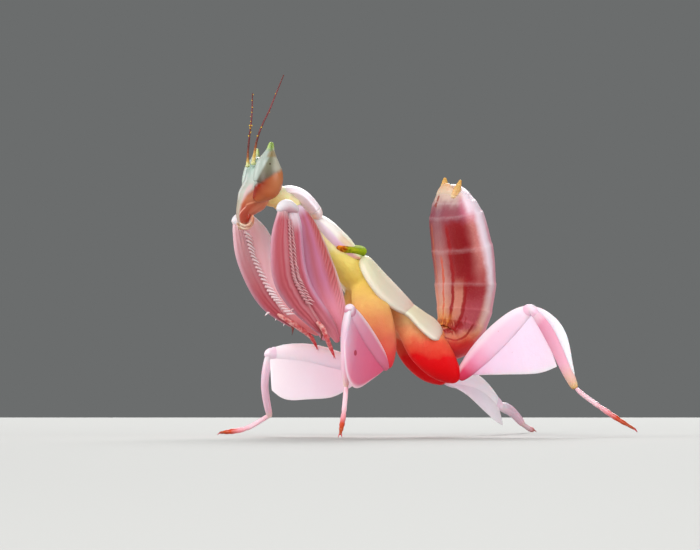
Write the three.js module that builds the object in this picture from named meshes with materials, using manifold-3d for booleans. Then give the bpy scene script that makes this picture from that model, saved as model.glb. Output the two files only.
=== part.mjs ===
// Orchid mantis (Hymenopus coronatus), a late nymph, standing with its abdomen curled up over its back.
// It faces -X, its left side is -Y and +Z is up. Lengths are millimetres, and the floor is z = 0.
// Every piece is a loft along its own line, cut back from the pieces that it meets.
import * as THREE from 'three';
import { mergeVertices } from 'three/addons/utils/BufferGeometryUtils.js';
import Module from 'manifold-3d';

const wasm = await Module();
wasm.setup();

// ---- driving dimensions ----
const CLEARANCE = 0.3;            // gap left between two pieces that meet
const STANCE_CENTRE = [2.05, -1.05]; // middle of the stance on the floor, set over the origin
const PLATE = 0.28;               // half thickness of the wing pads and of the petal lobes
const FLOOR_BLOCK = 80;           // size of the block that trims the feet flat
const MERGE_DISTANCE = 1e-5;

// Facets round each loft and along it, and how square its ends are (2 is an ellipse).
const LIMB = { sides: 8, steps: 7, blunt: 3 };
const TRUNK = { sides: 10, steps: 8, blunt: 3 };
const SHIELD = { sides: 12, steps: 8, blunt: 3 };
const EYEBALL = { sides: 10, steps: 8, blunt: 2.2 };
const FEELER = { sides: 6, steps: 9, blunt: 8 };
const PETAL = { sides: 8, steps: 10, blunt: 6 };
const RING = { sides: 14, steps: 10 };

const HEAD = {
  line: [[-20.4, 0, 28.2], [-20.7, 0, 26.6], [-20.9, 0, 25.0], [-21.3, 0, 23.6], [-21.9, 0, 22.2],
    [-22.5, 0, 20.8]],
  halfWidth: [1.3, 2.2, 2.3, 1.8, 1.25, 0.7],
  halfDepth: [0.8, 1.2, 1.35, 1.45, 1.2, 0.7],
};
const MOUTHPARTS = {
  line: [[-21.9, 0, 22.3], [-22.4, 0, 21.5], [-22.5, 0, 20.7]],
  halfWidth: [1.0, 0.9, 0.5],
  halfDepth: [0.9, 0.85, 0.5],
};
const EYE = {
  line: [[-20.05, 1.9, 23.5], [-20.25, 2.3, 25.2], [-20.15, 2.4, 27.0], [-19.8, 2.25, 29.1]],
  halfWidth: [0.7, 1.15, 1.05, 0.6, 0.25],
  halfDepth: [1.0, 1.6, 1.45, 0.75, 0.25],
};
const HEAD_TURN = 0.45;           // each eye's shift, as the head looks a little to its right
const HEAD_LEAN = 0.28;           // each eye's drop or rise, as the head leans to its right
const ANTENNA_RADIUS = [0.32, 0.27, 0.26, 0.26, 0.26];
const ANTENNA_LINE = {
  left: [[-21.4, -0.9, 26.9], [-21.15, -1, 28.7], [-20.8, -1, 29.9], [-20.3, -1, 31.2],
    [-19.8, -1, 32.4], [-19.0, -1, 34.2], [-18.2, -1, 36.1]],
  right: [[-21.35, 0.8, 26.6], [-21.2, 1, 28.2], [-21.05, 1, 29.8], [-20.85, 1, 31.3],
    [-20.75, 1, 32.5], [-20.7, 1, 34.3]],
};

const NECK = { line: [[-20.2, 0, 24.3], [-18.9, 0, 24.0], [-17.2, 0, 23.2]], radius: [1.1, 1.25, 1.25] };
const PRONOTUM = {
  line: [[-18.3, 0, 24.3], [-16.3, 0, 23.7], [-14.8, 0, 21.8], [-12.6, 0, 20.1], [-10.5, 0, 18.8],
    [-8.9, 0, 18.1]],
  halfWidth: [1.9, 2.9, 3.1, 2.4, 1.9, 2.0],
  halfHeight: [0.8, 1.3, 1.2, 0.75, 0.65, 0.75],
};
const PROTHORAX = {
  line: [[-17.6, 0, 22.6], [-15.6, 0, 21.0], [-13.2, 0, 18.9], [-10.9, 0, 17.0]],
  halfWidth: [1.4, 1.8, 1.7, 1.6],
  halfHeight: [1.2, 1.7, 1.5, 1.4],
};
const MESOTHORAX = {
  line: [[-11.0, 0, 17.1], [-8.6, 0, 15.3], [-6.3, 0, 13.2]],
  halfWidth: [1.9, 2.4, 2.3],
  halfHeight: [1.6, 2.0, 1.9],
};
const METATHORAX = {
  line: [[-6.4, 0, 13.3], [-4.2, 0, 11.3], [-1.6, 0, 9.9]],
  halfWidth: [2.2, 2.5, 2.3],
  halfHeight: [1.8, 2.0, 1.7],
};
const WING_PAD = {
  fore: {
    line: [[-9.5, 1.3, 17.6], [-7.5, 2.45, 15.0], [-4.5, 2.45, 12.3]],
    halfWidth: [0.8, 1.5, 1.5, 1.1, 0.4],
  },
  hind: {
    line: [[-5.2, 1.7, 13.0], [-3.6, 2.6, 11.3], [-1.2, 2.5, 9.9]],
    halfWidth: [0.7, 1.4, 1.5, 1.1, 0.5],
  },
};
const PAD_OUTWARD = [0.45, 0.75, 0.48];

const ABDOMEN = {
  line: [[-1.6, 0, 9.9], [0.2, 0, 9.2], [1.5, 0, 10.3], [2.1, 0, 12.2], [2.25, 0, 14.4], [2.2, 0, 16.8],
    [1.8, 0, 19.3], [1.3, 0, 21.8], [0.95, 0, 23.7], [0.8, 0, 25.2]],
  halfWidth: [1.8, 2.5, 3.1, 4.0, 4.8, 5.0, 4.9, 4.5, 3.4, 1.5],
  halfHeight: [1.6, 1.9, 2.1, 2.3, 2.4, 2.45, 2.4, 2.2, 1.5, 0.6],
  segments: 8,                    // overlapping rings along the whole curl
  flare: 0.045,                   // how far each ring stands out at its rear edge
  parts: { base: [0, 0.36], middle: [0.36, 0.68], tip: [0.68, 1] },
  blunt: { base: 5, middle: 12, tip: 5 },
};
const TAIL_PLATE = { line: [[0.4, 0, 23.9], [0.1, 0, 24.7], [0.1, 0, 25.4]], halfWidth: [1.5, 1.4, 0.6] };
const CERCUS = { line: [[1.1, 1.0, 24.0], [0.9, 1.45, 24.9], [0.7, 1.8, 25.8]], radius: [0.45, 0.42, 0.26] };

// Joints of each leg, from the body to the end of the foot, in the order coxa, femur, tibia, tarsus.
const FORELEG = {
  left: {
    coxa: [[-16.2, -2.1, 22.0], [-14.8, -2.9, 16.0], [-13.6, -3.7, 9.4]],
    femur: [[-14.0, -4.6, 9.0], [-17.1, -5.4, 15.5], [-19.6, -5.6, 22.8]],
    tibia: [[-19.6, -5.6, 23.2], [-21.0, -5.6, 20.0], [-21.1, -5.6, 17.2], [-20.3, -5.6, 14.2],
      [-16.8, -5.3, 11.1]],
    tarsus: [[-17.1, -5.3, 11.3], [-15.7, -5.2, 9.9], [-14.5, -5.2, 8.1]],
  },
  right: {
    coxa: [[-16.2, 2.1, 22.0], [-13.9, 2.7, 16.0], [-11.2, 3.3, 9.4]],
    femur: [[-10.9, 4.4, 9.0], [-15.1, 4.7, 15.0], [-20.3, 4.7, 21.3]],
    tibia: [[-20.4, 4.7, 21.6], [-20.6, 4.7, 19.5], [-19.9, 4.7, 16.4], [-18.2, 4.7, 13.4], [-15.6, 4.7, 11.6]],
    tarsus: [[-15.9, 4.7, 11.8], [-13.9, 4.3, 10.3], [-12.6, 3.9, 8.7]],
  },
};
const FORE_SECTION = {
  coxa: { halfWidth: [1.0, 1.3, 1.6, 2.1, 1.2], halfHeight: [0.9, 0.8, 0.7, 0.6, 0.6] },
  femur: { halfWidth: [0.8, 1.4, 1.8, 1.75, 1.1], halfHeight: [0.6, 0.8, 0.8, 0.75, 0.6] },
  tibia: { halfWidth: [0.6, 0.65, 0.6, 0.55, 0.4], halfHeight: [0.5, 0.5, 0.45, 0.4, 0.35] },
  tarsus: { halfWidth: [0.36, 0.4, 0.3], halfHeight: [0.34, 0.36, 0.27] },
};
const SPINES = { count: 7, length: 1.2, radius: 0.27, sides: 5, from: 0.2, to: 0.82, splay: 0.75 };

const WALKING_LEG = {
  midleg: {
    left: {
      coxa: [[-9.3, -1.8, 14.6], [-8.4, -2.7, 11.0], [-7.7, -2.9, 7.1]],
      femur: [[-7.9, -3.2, 6.8], [-11.0, -5.5, 9.9], [-14.0, -7.5, 12.8]],
      tibia: [[-14.1, -7.5, 12.8], [-14.3, -6.9, 9.0], [-13.5, -5.6, 4.8]],
      tarsus: [[-13.5, -5.6, 5.0], [-14.6, -7.4, 2.2], [-16.0, -9.45, -0.35]],
      lobeTurn: 0,
    },
    right: {
      coxa: [[-9.3, 1.8, 14.6], [-8.6, 2.6, 11.0], [-7.9, 2.8, 7.1]],
      femur: [[-8.1, 3.2, 6.9], [-12.4, 5.0, 8.2], [-16.3, 6.6, 8.3]],
      tibia: [[-16.3, 6.6, 8.3], [-15.9, 8.6, 5.1], [-14.4, 10.6, 1.8]],
      tarsus: [[-14.3, 10.5, 2.0], [-16.3, 12.2, 0.7], [-18.9, 13.8, 0.0]],
      lobeTurn: 0,
    },
    lobe: [2.2, 4.2, 4.5, 4.0, 2.9, 1.0],
  },
  hindleg: {
    left: {
      coxa: [[-4.3, -1.9, 10.6], [-2.4, -2.8, 7.9], [-0.4, -3.0, 5.8]],
      femur: [[-0.1, -3.2, 5.7], [2.8, -6.0, 9.5], [5.5, -8.4, 12.8]],
      tibia: [[5.3, -8.3, 12.8], [8.1, -10.2, 9.7], [8.7, -11.6, 4.7]],
      tarsus: [[8.6, -11.5, 5.0], [11.4, -14.2, 2.1], [14.1, -16.7, -0.3]],
      lobeTurn: 0,
    },
    right: {
      coxa: [[-3.3, 1.9, 10.2], [-0.9, 2.6, 7.5], [1.5, 2.6, 5.3]],
      femur: [[1.2, 2.7, 5.6], [5.6, 5.5, 4.7], [9.9, 8.4, 2.5]],
      tibia: [[9.8, 8.3, 2.5], [12.9, 11.5, 2.3], [15.8, 14.7, 1.0]],
      tarsus: [[15.5, 14.4, 1.1], [17.4, 16.7, 0.5], [19.0, 18.6, 0.1]],
      lobeTurn: -72,
    },
    lobe: [0.2, 1.0, 2.6, 4.8, 6.6, 6.2],
  },
};
const WALKING_SECTION = {
  coxa: { halfWidth: [1.7, 2.0, 1.9, 1.1], halfHeight: [1.1, 1.3, 1.2, 0.9] },
  femur: { halfWidth: [0.75, 0.95, 1.0, 0.9, 0.7], halfHeight: [0.7, 0.65, 0.55, 0.5, 0.5] },
  tibia: { halfWidth: [0.6, 1.0, 0.75, 0.5], halfHeight: [0.45, 0.42, 0.4, 0.36] },
  tarsus: { halfWidth: [0.36, 0.33, 0.36], halfHeight: [0.34, 0.32, 0.36] },
};
const LOBE_HANG = 0.1;            // how deep the top of a petal lobe is sunk in its femur

// ---- materials ----
const COLOURS = {
  petal: 0xf3dde2, cream: 0xf4ecdc, rose: 0xe79aa6, lilac: 0xe3c6d2, yellow: 0xe2c25a,
  orange: 0xd98a3c, red: 0xb1353a, lime: 0xbfd16a, horn: 0x8a3b2a, face: 0xd9dfc4,
};

function cuticle(colour, roughness = 0.55) {
  return new THREE.MeshStandardMaterial({ color: COLOURS[colour], roughness, metalness: 0 });
}

// ---- shapes ----
const ACROSS = new THREE.Vector3(0, 1, 0);
const FORE_ACROSS = new THREE.Vector3(1, 0, 0.3);
const LEG_PARTS = ['coxa', 'femur', 'tibia', 'tarsus'];
const PLAIN_LOFT = { ...LIMB, across: ACROSS, grow: 0, span: [0, 1], flare: () => 1 };

function vector([x, y, z]) {
  return new THREE.Vector3(x, y, z);
}

function mirrored(line, side) {
  const sign = side === 'left' ? -1 : 1;
  return line.map(([x, y, z]) => [x, sign * y, z]);
}

function along(values, t) {
  const spline = new THREE.SplineCurve(values.map((value, index) => new THREE.Vector2(index, value)));
  return spline.getPoint(t).y;
}

function toSolid(geometry) {
  geometry.deleteAttribute('normal');
  geometry.deleteAttribute('uv');
  const merged = mergeVertices(geometry, MERGE_DISTANCE);
  return new wasm.Manifold(new wasm.Mesh({
    numProp: 3,
    vertProperties: new Float32Array(merged.attributes.position.array),
    triVerts: new Uint32Array(merged.index.array),
  }));
}

// A closed loft: a sphere whose pole runs along the line and whose rings take the half sizes given.
function loft(line, halfWidth, halfHeight, options = {}) {
  const { sides, steps, blunt, across, grow, span, flare } = { ...PLAIN_LOFT, ...options };
  const curve = new THREE.CatmullRomCurve3(line.map(vector));
  const shape = new THREE.SphereGeometry(1, sides, steps);
  const position = shape.attributes.position;
  const ring = new THREE.Vector3();
  for (let index = 0; index < position.count; index += 1) {
    ring.fromBufferAttribute(position, index);
    const t = (1 - ring.y) / 2;
    const station = THREE.MathUtils.lerp(span[0], span[1], THREE.MathUtils.clamp(t, 0, 1));
    const girth = Math.pow(Math.max(0, 1 - Math.pow(Math.abs(2 * t - 1), blunt)), 1 / blunt);
    const radial = Math.hypot(ring.x, ring.z) || 1;
    const centre = curve.getPoint(station);
    const tangent = curve.getTangent(station);
    const up = new THREE.Vector3().crossVectors(tangent, across).normalize();
    const sideways = new THREE.Vector3().crossVectors(up, tangent).normalize();
    const swell = flare(station);
    const wide = girth * (along(halfWidth, station) * swell + grow) * ring.x / radial;
    const high = girth * (along(halfHeight, station) * swell + grow) * ring.z / radial;
    centre.addScaledVector(tangent, grow * (2 * t - 1));
    centre.addScaledVector(sideways, wide).addScaledVector(up, high);
    position.setXYZ(index, centre.x, centre.y, centre.z);
  }
  return toSolid(shape);
}

// ---- assembly ----
const mantis = new THREE.Group();
const placed = new Map();
const belowFloor = toSolid(new THREE.BoxGeometry(FLOOR_BLOCK, FLOOR_BLOCK, FLOOR_BLOCK)
  .translate(0, 0, -FLOOR_BLOCK / 2));

function largest(solid) {
  const bodies = solid.decompose().sort((one, other) => other.volume() - one.volume());
  return bodies[0];
}

// Adds one piece, cut back from the neighbours named, with its origin at the joint where it starts.
function addPiece(name, material, joint, shape, neighbours = []) {
  let solid = shape(0).subtract(belowFloor);
  for (const neighbour of neighbours) {
    solid = solid.subtract(placed.get(neighbour)(CLEARANCE));
  }
  const mesh = largest(solid).getMesh();
  const geometry = new THREE.BufferGeometry();
  geometry.setAttribute('position', new THREE.BufferAttribute(mesh.vertProperties, mesh.numProp));
  geometry.setIndex(new THREE.BufferAttribute(mesh.triVerts, 1));
  geometry.translate(-joint[0], -joint[1], -joint[2]);
  geometry.computeVertexNormals();
  const piece = new THREE.Mesh(geometry, material);
  piece.name = name;
  piece.position.set(...joint);
  mantis.add(piece);
  placed.set(name, shape);
}

function addLoft(name, material, part, neighbours, options = {}) {
  const halfHeight = part.halfHeight ?? part.halfDepth ?? part.radius;
  const shape = (grow) => loft(part.line, part.halfWidth ?? part.radius, halfHeight, { ...options, grow });
  addPiece(name, material, part.line[0], shape, neighbours);
}

function addHead() {
  for (const side of ['left', 'right']) {
    const sign = side === 'right' ? 1 : -1;
    const line = mirrored(EYE.line, side).map(([x, y, z]) => [x + sign * HEAD_TURN, y, z - sign * HEAD_LEAN]);
    addLoft(`eye_${side}`, cuticle('lime', 0.3), { ...EYE, line }, [], EYEBALL);
  }
  for (const side of ['left', 'right']) {
    const antenna = { line: ANTENNA_LINE[side], radius: ANTENNA_RADIUS };
    addLoft(`antenna_${side}`, cuticle('horn'), antenna, [], FEELER);
  }
  addLoft('mouthparts', cuticle('orange'), MOUTHPARTS, []);
  const around = ['eye_left', 'eye_right', 'antenna_left', 'antenna_right', 'mouthparts'];
  addLoft('head', cuticle('face'), HEAD, around, SHIELD);
  addLoft('neck', cuticle('yellow'), NECK, ['head', 'eye_left', 'eye_right'], TRUNK);
}

function addThorax() {
  addLoft('pronotum', cuticle('cream'), PRONOTUM, ['neck', 'head'], SHIELD);
  for (const side of ['left', 'right']) {
    for (const [wing, pad] of Object.entries(WING_PAD)) {
      const line = mirrored(pad.line, side);
      const outward = vector(mirrored([PAD_OUTWARD], side)[0]);
      const axis = vector(line[2]).sub(vector(line[0]));
      const across = new THREE.Vector3().crossVectors(outward, axis).normalize();
      const solid = { line, halfWidth: pad.halfWidth, halfHeight: [PLATE, PLATE] };
      const cut = wing === 'hind' ? [`wing_pad_fore_${side}`] : ['pronotum'];
      addLoft(`wing_pad_${wing}_${side}`, cuticle('cream'), solid, cut, { across });
    }
  }
  const pads = ['wing_pad_fore_left', 'wing_pad_fore_right', 'wing_pad_hind_left', 'wing_pad_hind_right'];
  addLoft('prothorax', cuticle('yellow'), PROTHORAX, ['pronotum', 'neck', 'head'], TRUNK);
  addLoft('mesothorax', cuticle('cream'), MESOTHORAX, ['pronotum', 'prothorax', ...pads], TRUNK);
  addLoft('metathorax', cuticle('cream'), METATHORAX, ['mesothorax', ...pads], TRUNK);
}

function addAbdomen() {
  const pads = ['wing_pad_hind_left', 'wing_pad_hind_right'];
  const flare = (station) => 1 + ABDOMEN.flare * ((station * ABDOMEN.segments) % 1);
  let previous = 'metathorax';
  addLoft('tail_plate', cuticle('petal'), { ...TAIL_PLATE, halfHeight: [PLATE, PLATE] }, []);
  for (const side of ['left', 'right']) {
    const cercus = { line: mirrored(CERCUS.line, side), radius: CERCUS.radius };
    addLoft(`cercus_${side}`, cuticle('orange'), cercus, ['tail_plate'], LIMB);
  }
  for (const [part, span] of Object.entries(ABDOMEN.parts)) {
    const end = part === 'tip' ? ['tail_plate', 'cercus_left', 'cercus_right'] : [];
    const options = { ...RING, blunt: ABDOMEN.blunt[part], span, flare };
    addLoft(`abdomen_${part}`, cuticle('rose'), ABDOMEN, [previous, ...pads, ...end], options);
    previous = `abdomen_${part}`;
  }
}

function addForeleg(side) {
  const joints = FORELEG[side];
  const body = ['prothorax', 'pronotum', 'neck', 'head', 'mesothorax'];
  const looks = { coxa: 'rose', femur: 'petal', tibia: 'rose', tarsus: 'red' };
  for (const [index, part] of LEG_PARTS.entries()) {
    const before = LEG_PARTS.slice(0, index).map((name) => `foreleg_${side}_${name}`);
    const { halfWidth, halfHeight } = FORE_SECTION[part];
    const shape = (grow) => {
      const core = loft(joints[part], halfWidth, halfHeight, { across: FORE_ACROSS, grow });
      const comb = part === 'tibia' ? spines(joints[part], side, grow) : [];
      return comb.reduce((sum, spine) => sum.add(spine), core);
    };
    addPiece(`foreleg_${side}_${part}`, cuticle(looks[part]), joints[part][0], shape, [...body, ...before]);
  }
}

// A comb of spines along the inner edge of the fore tibia, splayed past the outer face of the femur.
function spines(line, side, grow) {
  const curve = new THREE.CatmullRomCurve3(line.map(vector));
  const outward = side === 'left' ? -1 : 1;
  return Array.from({ length: SPINES.count }, (_, index) => {
    const t = THREE.MathUtils.lerp(SPINES.from, SPINES.to, index / (SPINES.count - 1));
    const root = curve.getPoint(t);
    const inward = new THREE.Vector3().crossVectors(ACROSS, curve.getTangent(t)).negate();
    const aim = inward.addScaledVector(ACROSS, outward * SPINES.splay).normalize();
    const cone = new THREE.ConeGeometry(SPINES.radius + grow, SPINES.length + grow, SPINES.sides);
    cone.translate(0, SPINES.length / 2, 0);
    cone.applyQuaternion(new THREE.Quaternion().setFromUnitVectors(new THREE.Vector3(0, 1, 0), aim));
    return toSolid(cone.translate(root.x, root.y, root.z));
  });
}

function addWalkingLeg(leg, side) {
  const joints = WALKING_LEG[leg][side];
  const body = ['prothorax', 'mesothorax', 'metathorax', 'wing_pad_fore_left', 'wing_pad_fore_right',
    'wing_pad_hind_left', 'wing_pad_hind_right', 'abdomen_base',
    ...LEG_PARTS.map((part) => `foreleg_${side}_${part}`)];
  const looks = { coxa: 'orange', femur: 'petal', tibia: 'rose', tarsus: 'rose' };
  for (const [index, part] of LEG_PARTS.entries()) {
    const before = LEG_PARTS.slice(0, index).map((name) => `${leg}_${side}_${name}`);
    const line = joints[part];
    const { halfWidth, halfHeight } = WALKING_SECTION[part];
    const axis = vector(line[2]).sub(vector(line[0]));
    const across = new THREE.Vector3().crossVectors(new THREE.Vector3(axis.y, -axis.x, 0), axis).normalize();
    const turn = THREE.MathUtils.degToRad(joints.lobeTurn);
    const lobeAcross = across.clone().applyAxisAngle(axis.clone().normalize(), turn);
    const shape = (grow) => {
      const core = loft(line, halfWidth, halfHeight, { across, grow });
      return part === 'femur' ? core.add(petalLobe(line, WALKING_LEG[leg].lobe, lobeAcross, grow)) : core;
    };
    addPiece(`${leg}_${side}_${part}`, cuticle(looks[part]), line[0], shape, [...body, ...before]);
  }
}

// The petal-shaped lobe hangs from the femur as a thin plate in the leg's own upright plane.
function petalLobe(line, depth, across, grow) {
  const down = across.z > 0 ? across.clone().negate() : across.clone();
  const middle = (index, t) => vector(line[index]).addScaledVector(down, along(depth, t) / 2 + LOBE_HANG);
  const hung = [middle(0, 0), middle(1, 0.5), middle(2, 1)].map((point) => point.toArray());
  return loft(hung, depth.map((value) => value / 2), [PLATE, PLATE], { ...PETAL, across, grow });
}

addHead();
addThorax();
addAbdomen();
for (const side of ['left', 'right']) {
  addForeleg(side);
}
for (const leg of Object.keys(WALKING_LEG)) {
  for (const side of ['left', 'right']) {
    addWalkingLeg(leg, side);
  }
}

mantis.position.set(STANCE_CENTRE[0], STANCE_CENTRE[1], 0);

export default mantis;
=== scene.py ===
import math
import random

import bpy
from mathutils import Matrix, Vector


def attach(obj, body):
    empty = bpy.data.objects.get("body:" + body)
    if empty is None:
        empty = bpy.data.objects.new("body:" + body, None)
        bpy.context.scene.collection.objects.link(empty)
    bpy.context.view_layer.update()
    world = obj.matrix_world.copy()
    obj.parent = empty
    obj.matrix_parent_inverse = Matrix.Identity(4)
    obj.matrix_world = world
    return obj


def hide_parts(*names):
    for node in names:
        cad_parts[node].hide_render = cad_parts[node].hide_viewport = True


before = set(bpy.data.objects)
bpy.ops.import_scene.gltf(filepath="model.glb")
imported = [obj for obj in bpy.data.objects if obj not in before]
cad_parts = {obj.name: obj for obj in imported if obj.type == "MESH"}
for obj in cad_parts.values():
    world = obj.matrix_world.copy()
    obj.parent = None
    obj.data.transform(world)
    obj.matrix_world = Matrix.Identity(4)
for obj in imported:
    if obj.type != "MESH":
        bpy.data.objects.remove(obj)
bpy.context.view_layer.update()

# Body wall: the soft skin of the thorax and of the four fleshy coxae that hang from it, one skin
# from the neck to the waist. It is thin cuticle stretched over muscle, and the shield, the wing
# pads and the legs are all rooted in it.


def at(x, y, z):
    """A point of the frame in metres, from millimetres about the animal's own middle line. The
    zero of that line stands at 2.05 mm along x and -1.05 mm along y of the frame."""
    return Vector((x + 2.05, y - 1.05, z)) / 1000


def smooth(values, t):
    """The value at t, from 0 to 1, on a smooth curve through evenly spaced values."""
    spot = min(max(t, 0), 1) * (len(values) - 1)
    n = min(int(spot), len(values) - 2)
    f = spot - n
    a, b, c, d = (values[min(max(n + k, 0), len(values) - 1)] for k in (-1, 0, 1, 2))
    curve = 2 * a - 5 * b + 4 * c - d
    return 0.5 * (2 * b + (c - a) * f + curve * f ** 2 + (3 * b - a - 3 * c + d) * f ** 3)


def heading(line, t):
    """Direction of a smooth line at t."""
    return smooth(line, t + 0.01) - smooth(line, t - 0.01)


def ring_frame(forward, across):
    """Axes of a ring: across it, up from it, and forward through it, as columns."""
    n = forward.normalized()
    u = (across - across.dot(n) * n).normalized()
    return Matrix((u, n.cross(u), n)).transposed()


def stations(line, wide, deep, across=(0, 1, 0), steps=14, blunt=3):
    """Places for a ring pulled along a line: (t, centre, axes, half width, half depth) in metres."""
    line = [at(*point) for point in line]
    rings = []
    for k in range(1, steps):
        t = (1 - math.cos(math.pi * k / steps)) / 2
        girth = (1 - abs(2 * t - 1) ** blunt) ** (1 / blunt) / 1000
        axes = ring_frame(heading(line, t), Vector(across))
        rings.append((t, smooth(line, t), axes, girth * smooth(wide, t), girth * smooth(deep, t)))
    return rings


def pull(name, rings, sides=20, levels=2, keel=0):
    """Extrudes a ring of points from place to place, closes its ends and rounds it. Each point
    keeps its place: across -1 to 1, up -1 to 1, and along 0 to 1. keel lowers the widest line."""
    bpy.ops.object.select_all(action="DESELECT")
    t, centre, axes, wide, deep = rings[0]
    bpy.ops.mesh.primitive_circle_add(
        vertices=sides, radius=0.001, fill_type="NOTHING", location=centre, rotation=axes.to_euler()
    )
    piece = bpy.context.object
    piece.name = piece.data.name = name
    fit = 6 / (4 + 2 * math.cos(2 * math.pi / sides))
    bpy.ops.object.mode_set(mode="EDIT")
    bpy.ops.mesh.select_all(action="SELECT")
    before = (centre, axes, 0.001 / fit, 0.001 / fit)
    for number, (t, centre, axes, wide, deep) in enumerate(rings):
        if number:
            bpy.ops.mesh.extrude_region_move(TRANSFORM_OT_translate={"value": centre - before[0]})
            axis, angle = (axes @ before[1].transposed()).to_quaternion().to_axis_angle()
            if angle > 1e-5:
                bpy.ops.transform.rotate(
                    value=angle, orient_axis="Z", constraint_axis=(False, False, True),
                    orient_type="GLOBAL", orient_matrix=ring_frame(axis, axis.orthogonal()),
                    orient_matrix_type="GLOBAL", center_override=centre,
                )
        bpy.ops.transform.resize(
            value=(wide / before[2], deep / before[3], 1), orient_type="GLOBAL",
            orient_matrix=axes, orient_matrix_type="GLOBAL", center_override=centre,
        )
        before = (centre, axes, wide, deep)
    bpy.ops.mesh.select_all(action="SELECT")
    bpy.ops.mesh.fill_holes(sides=0)
    bpy.ops.mesh.normals_make_consistent(inside=False)
    bpy.ops.object.mode_set(mode="OBJECT")
    bpy.ops.object.transform_apply(location=True, rotation=True, scale=True)
    place = piece.data.attributes.new("place", "FLOAT_VECTOR", "POINT")
    for point in piece.data.vertices:
        t, centre, axes, wide, deep = rings[point.index // sides]
        local = axes.transposed() @ (point.co - centre)
        top = local.y / deep / fit
        place.data[point.index].vector = (local.x / wide / fit, top, t)
        point.co -= axes.col[1] * deep * fit * keel * max(0, 1 - abs(top))
    modifier = piece.modifiers.new("Round", "SUBSURF")
    modifier.levels = modifier.render_levels = levels
    bpy.ops.object.modifier_apply(modifier=modifier.name)
    bpy.ops.object.shade_smooth()
    return piece


class Value:
    """One socket of a finish, so that its numbers can be worked out as plain sums."""

    def __init__(self, tree, socket=None):
        self.tree = tree
        self.socket = socket

    def node(self, kind, settings=None, sockets=None, out=0):
        """Adds a node: its settings first, then the values or links of its sockets."""
        made = self.tree.nodes.new(kind)
        for key, setting in (settings or {}).items():
            if key == "stops":
                stops = made.color_ramp.elements
                while len(stops) < len(setting):
                    stops.new(1)
                for stop, (position, colour) in zip(stops, setting):
                    stop.position = position
                    stop.color = tint(colour)
            else:
                setattr(made, key, setting)
        for key, value in (sockets or {}).items():
            if isinstance(value, Value):
                self.tree.links.new(value.socket, made.inputs[key])
            else:
                made.inputs[key].default_value = value
        return Value(self.tree, made.outputs[out])

    def output(self, name):
        """Another output of the node that this one comes from."""
        return Value(self.tree, self.socket.node.outputs[name])

    def maths(self, operation, *others):
        values = dict(enumerate((self, *others)))
        return self.node("ShaderNodeMath", {"operation": operation}, values)

    def __add__(self, other):
        return self.maths("ADD", other)

    __radd__ = __add__

    def __sub__(self, other):
        return self.maths("SUBTRACT", other)

    def __rsub__(self, other):
        return self.node("ShaderNodeMath", {"operation": "SUBTRACT"}, {0: other, 1: self})

    def __mul__(self, other):
        return self.maths("MULTIPLY", other)

    __rmul__ = __mul__

    def __truediv__(self, other):
        return self.maths("DIVIDE", other)

    def __abs__(self):
        return self.maths("ABSOLUTE")

    def rise(self, low, high):
        """0 at low, 1 at high, with a soft start and end."""
        settings = {"interpolation_type": "SMOOTHSTEP"}
        return self.node("ShaderNodeMapRange", settings, {0: self, 1: low, 2: high})

    def band(self, middle, half, soft):
        """1 within half of the middle, fading to 0 over soft."""
        return abs(self - middle).rise(half + soft, half)

    def mix(self, low, high):
        """Colour from low to high as this goes from 0 to 1."""
        colours = [tint(colour) if isinstance(colour, str) else colour for colour in (low, high)]
        sockets = {0: self, 6: colours[0], 7: colours[1]}
        return self.node("ShaderNodeMix", {"data_type": "RGBA"}, sockets, 2)

    def colours(self, *stops):
        return self.node("ShaderNodeValToRGB", {"stops": stops}, {"Fac": self})

    def noise(self, scale, detail=2.0):
        """Soft blotches from 0 to 1, scale to the metre."""
        return self.node("ShaderNodeTexNoise", {}, {"Vector": self, "Scale": scale, "Detail": detail})

    def cells(self, scale):
        """Distance to the nearest grain, scale to the metre."""
        return self.node("ShaderNodeTexVoronoi", {}, {"Vector": self, "Scale": scale})

    def stretched(self, x, y, z):
        return self.node("ShaderNodeVectorMath", {"operation": "MULTIPLY"}, {0: self, 1: (x, y, z)})


def stained(colour, *stains):
    """Lays each stain, how much of it and its colour, over the last."""
    for much, stain in stains:
        colour = much.mix(colour, stain)
    return colour


def tint(code):
    """Colour of a paint from its six-figure code."""
    parts = [int(code[i:i + 2], 16) / 255 for i in (0, 2, 4)]
    linear = [((part + 0.055) / 1.055) ** 2.4 if part > 0.04045 else part / 12.92 for part in parts]
    return linear + [1]


def cuticle(name, paint, bleed=0.4, depth=0.7, coat=0.08, bump=0.06, gloss=0.28):
    """Thin soft insect shell. paint gives its colour, roughness and height from the place on it."""
    material = bpy.data.materials.new(name)
    material.use_nodes = True
    tree = material.node_tree
    tree.nodes.clear()
    new = Value(tree)
    place = new.node("ShaderNodeAttribute", {"attribute_name": "place"}, {}, "Vector")
    side = new.node("ShaderNodeSeparateXYZ", {}, {0: place})
    spot = new.node("ShaderNodeTexCoord", {}, {}, "Object")
    colour, rough, height = paint(side, side.output("Y"), side.output("Z"), spot)
    relief = {"Height": height, "Distance": bump / 1000, "Strength": 0.8}
    normal = new.node("ShaderNodeBump", {}, relief)
    shell = {
        "Base Color": colour, "Roughness": rough, "Normal": normal, "Subsurface Weight": bleed,
        "Subsurface Radius": (1, 0.5, 0.45), "Subsurface Scale": depth / 1000, "IOR": 1.45,
        "Specular IOR Level": gloss, "Coat Weight": coat, "Coat Roughness": 0.22,
    }
    surface = new.node("ShaderNodeBsdfPrincipled", {}, shell)
    out = tree.nodes.new("ShaderNodeOutputMaterial")
    tree.links.new(surface.socket, out.inputs["Surface"])
    return material


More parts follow.
